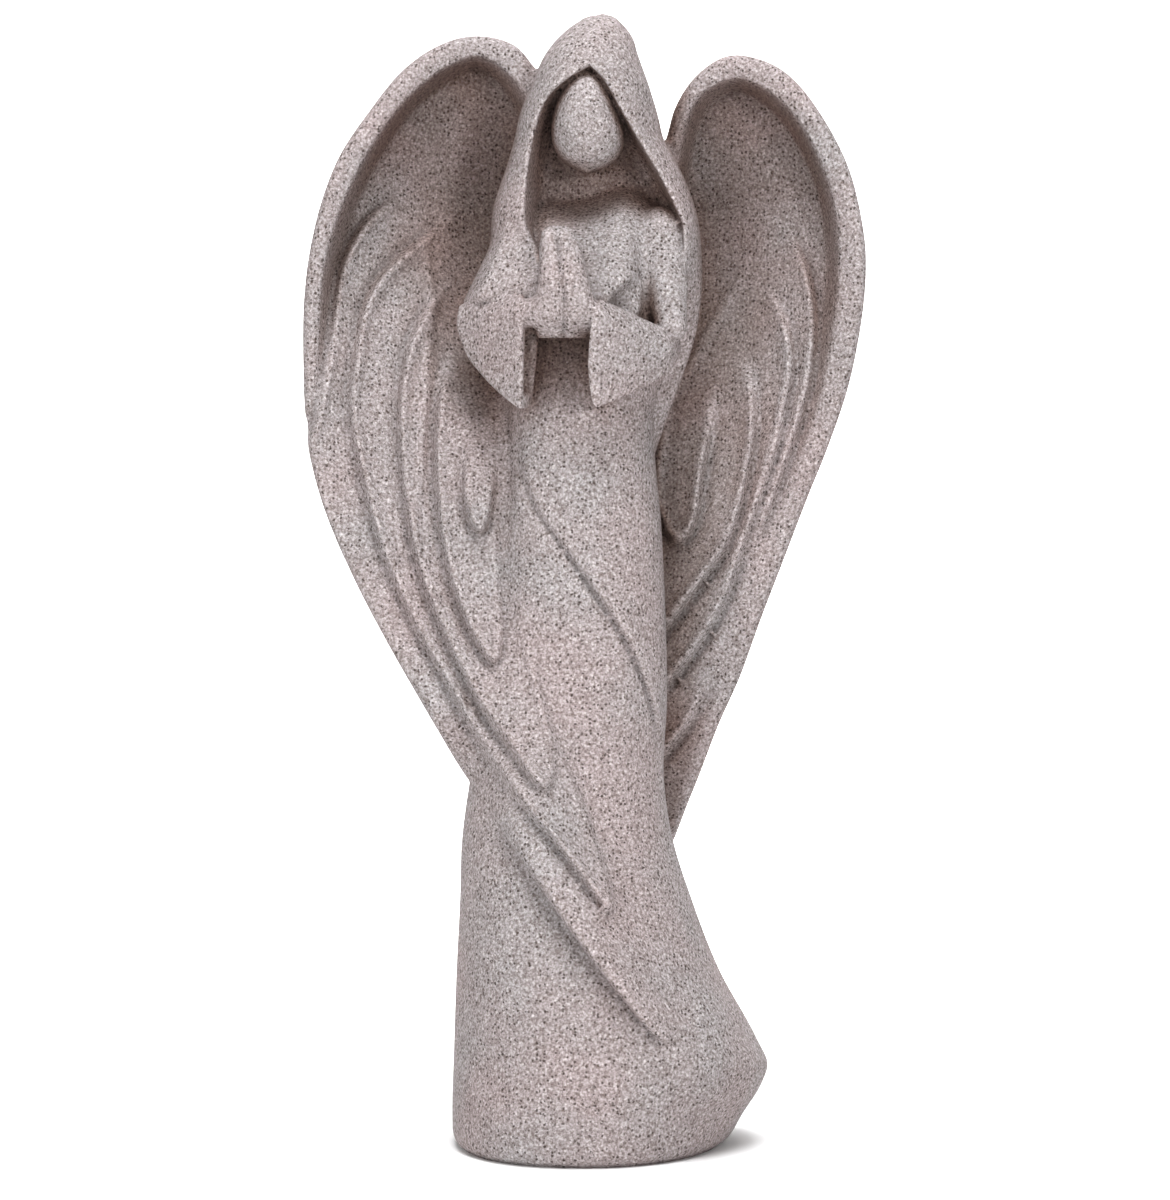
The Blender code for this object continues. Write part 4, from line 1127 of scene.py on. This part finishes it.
def backdrop(wall_y):
    """A wide flat floor that sweeps up into a wall far behind the figure."""
    turn = 0.5
    profile = [(y, 0.0) for y in (-1.8, -1.2, -0.6, -0.2, 0.2, 0.5)]
    for k in range(13):
        a = k / 12 * math.pi / 2
        profile.append((wall_y - turn + turn * math.sin(a), turn - turn * math.cos(a)))
    profile += [(wall_y, 1.2), (wall_y, 2.4)]
    sides = np.linspace(-2.4, 2.4, 9)
    verts = [(x, y, z) for y, z in profile for x in sides]
    m = len(sides)
    faces = [
        (r * m + c, r * m + c + 1, (r + 1) * m + c + 1, (r + 1) * m + c)
        for r in range(len(profile) - 1)
        for c in range(m - 1)
    ]
    mesh = bpy.data.meshes.new("floor")
    mesh.from_pydata(verts, [], faces)
    mesh.polygons.foreach_set("use_smooth", np.ones(len(faces), bool))
    mesh.update()
    obj = bpy.data.objects.new("floor", mesh)
    bpy.context.scene.collection.objects.link(obj)
    pale_surface(obj)
    return obj


def soft_light(name, at, towards, size, power, colour=(1, 1, 1)):
    data = bpy.data.lights.new(name, "AREA")
    data.shape = "RECTANGLE"
    data.size, data.size_y = size
    data.energy = power
    data.color = colour
    obj = bpy.data.objects.new(name, data)
    bpy.context.scene.collection.objects.link(obj)
    obj.location = at
    obj.rotation_euler = (Vector(towards) - Vector(at)).to_track_quat("-Z", "Y").to_euler()
    return obj


def camera(move):
    data = bpy.data.cameras.new("camera")
    data.sensor_width = 36.0
    data.lens = 36.0 * EYE / (1200 * UNIT)
    data.clip_end = 20
    obj = bpy.data.objects.new("camera", data)
    bpy.context.scene.collection.objects.link(obj)
    obj.location = (-move[0], -EYE / 1000 - move[1], MID_HEIGHT / 1000 - move[2])
    obj.rotation_euler = (math.pi / 2, 0, 0)
    bpy.context.scene.camera = obj


def setting():
    world = bpy.data.worlds.new("studio")
    bpy.context.scene.world = world
    world.use_nodes = True
    n = Nodes(world.node_tree)
    up = n.add("ShaderNodeSeparateXYZ", {"Vector": n.add("ShaderNodeTexCoord").outputs["Generated"]})
    colour = n.ramp(
        n.maths("MULTIPLY_ADD", up.outputs["Z"], 0.5, 0.5), [(0.50, SKY_LOW), (0.98, SKY_TOP)]
    )
    background = n.add("ShaderNodeBackground", {"Color": colour, "Strength": SKY})
    n.add("ShaderNodeOutputWorld", {"Surface": background.outputs["Background"]})
    soft_light("key", *KEY)
    soft_light("side", *SIDE)
    soft_light("fill", *FILL)
    soft_light("back", *BACK)
    bpy.context.scene.view_settings.view_transform = "Standard"
    bpy.context.scene.view_settings.gamma = CONTRAST


figurine, move = stone_mesh(VISUAL_STEP, VISUAL_TRIANGLES)
mark_ridges(figurine)
mark_hollows(figurine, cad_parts["angel_figurine"])
figurine.data.materials.append(speckled_stone())
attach(figurine, "root")
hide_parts("angel_figurine")

backdrop(WALL)
setting()
camera(move)
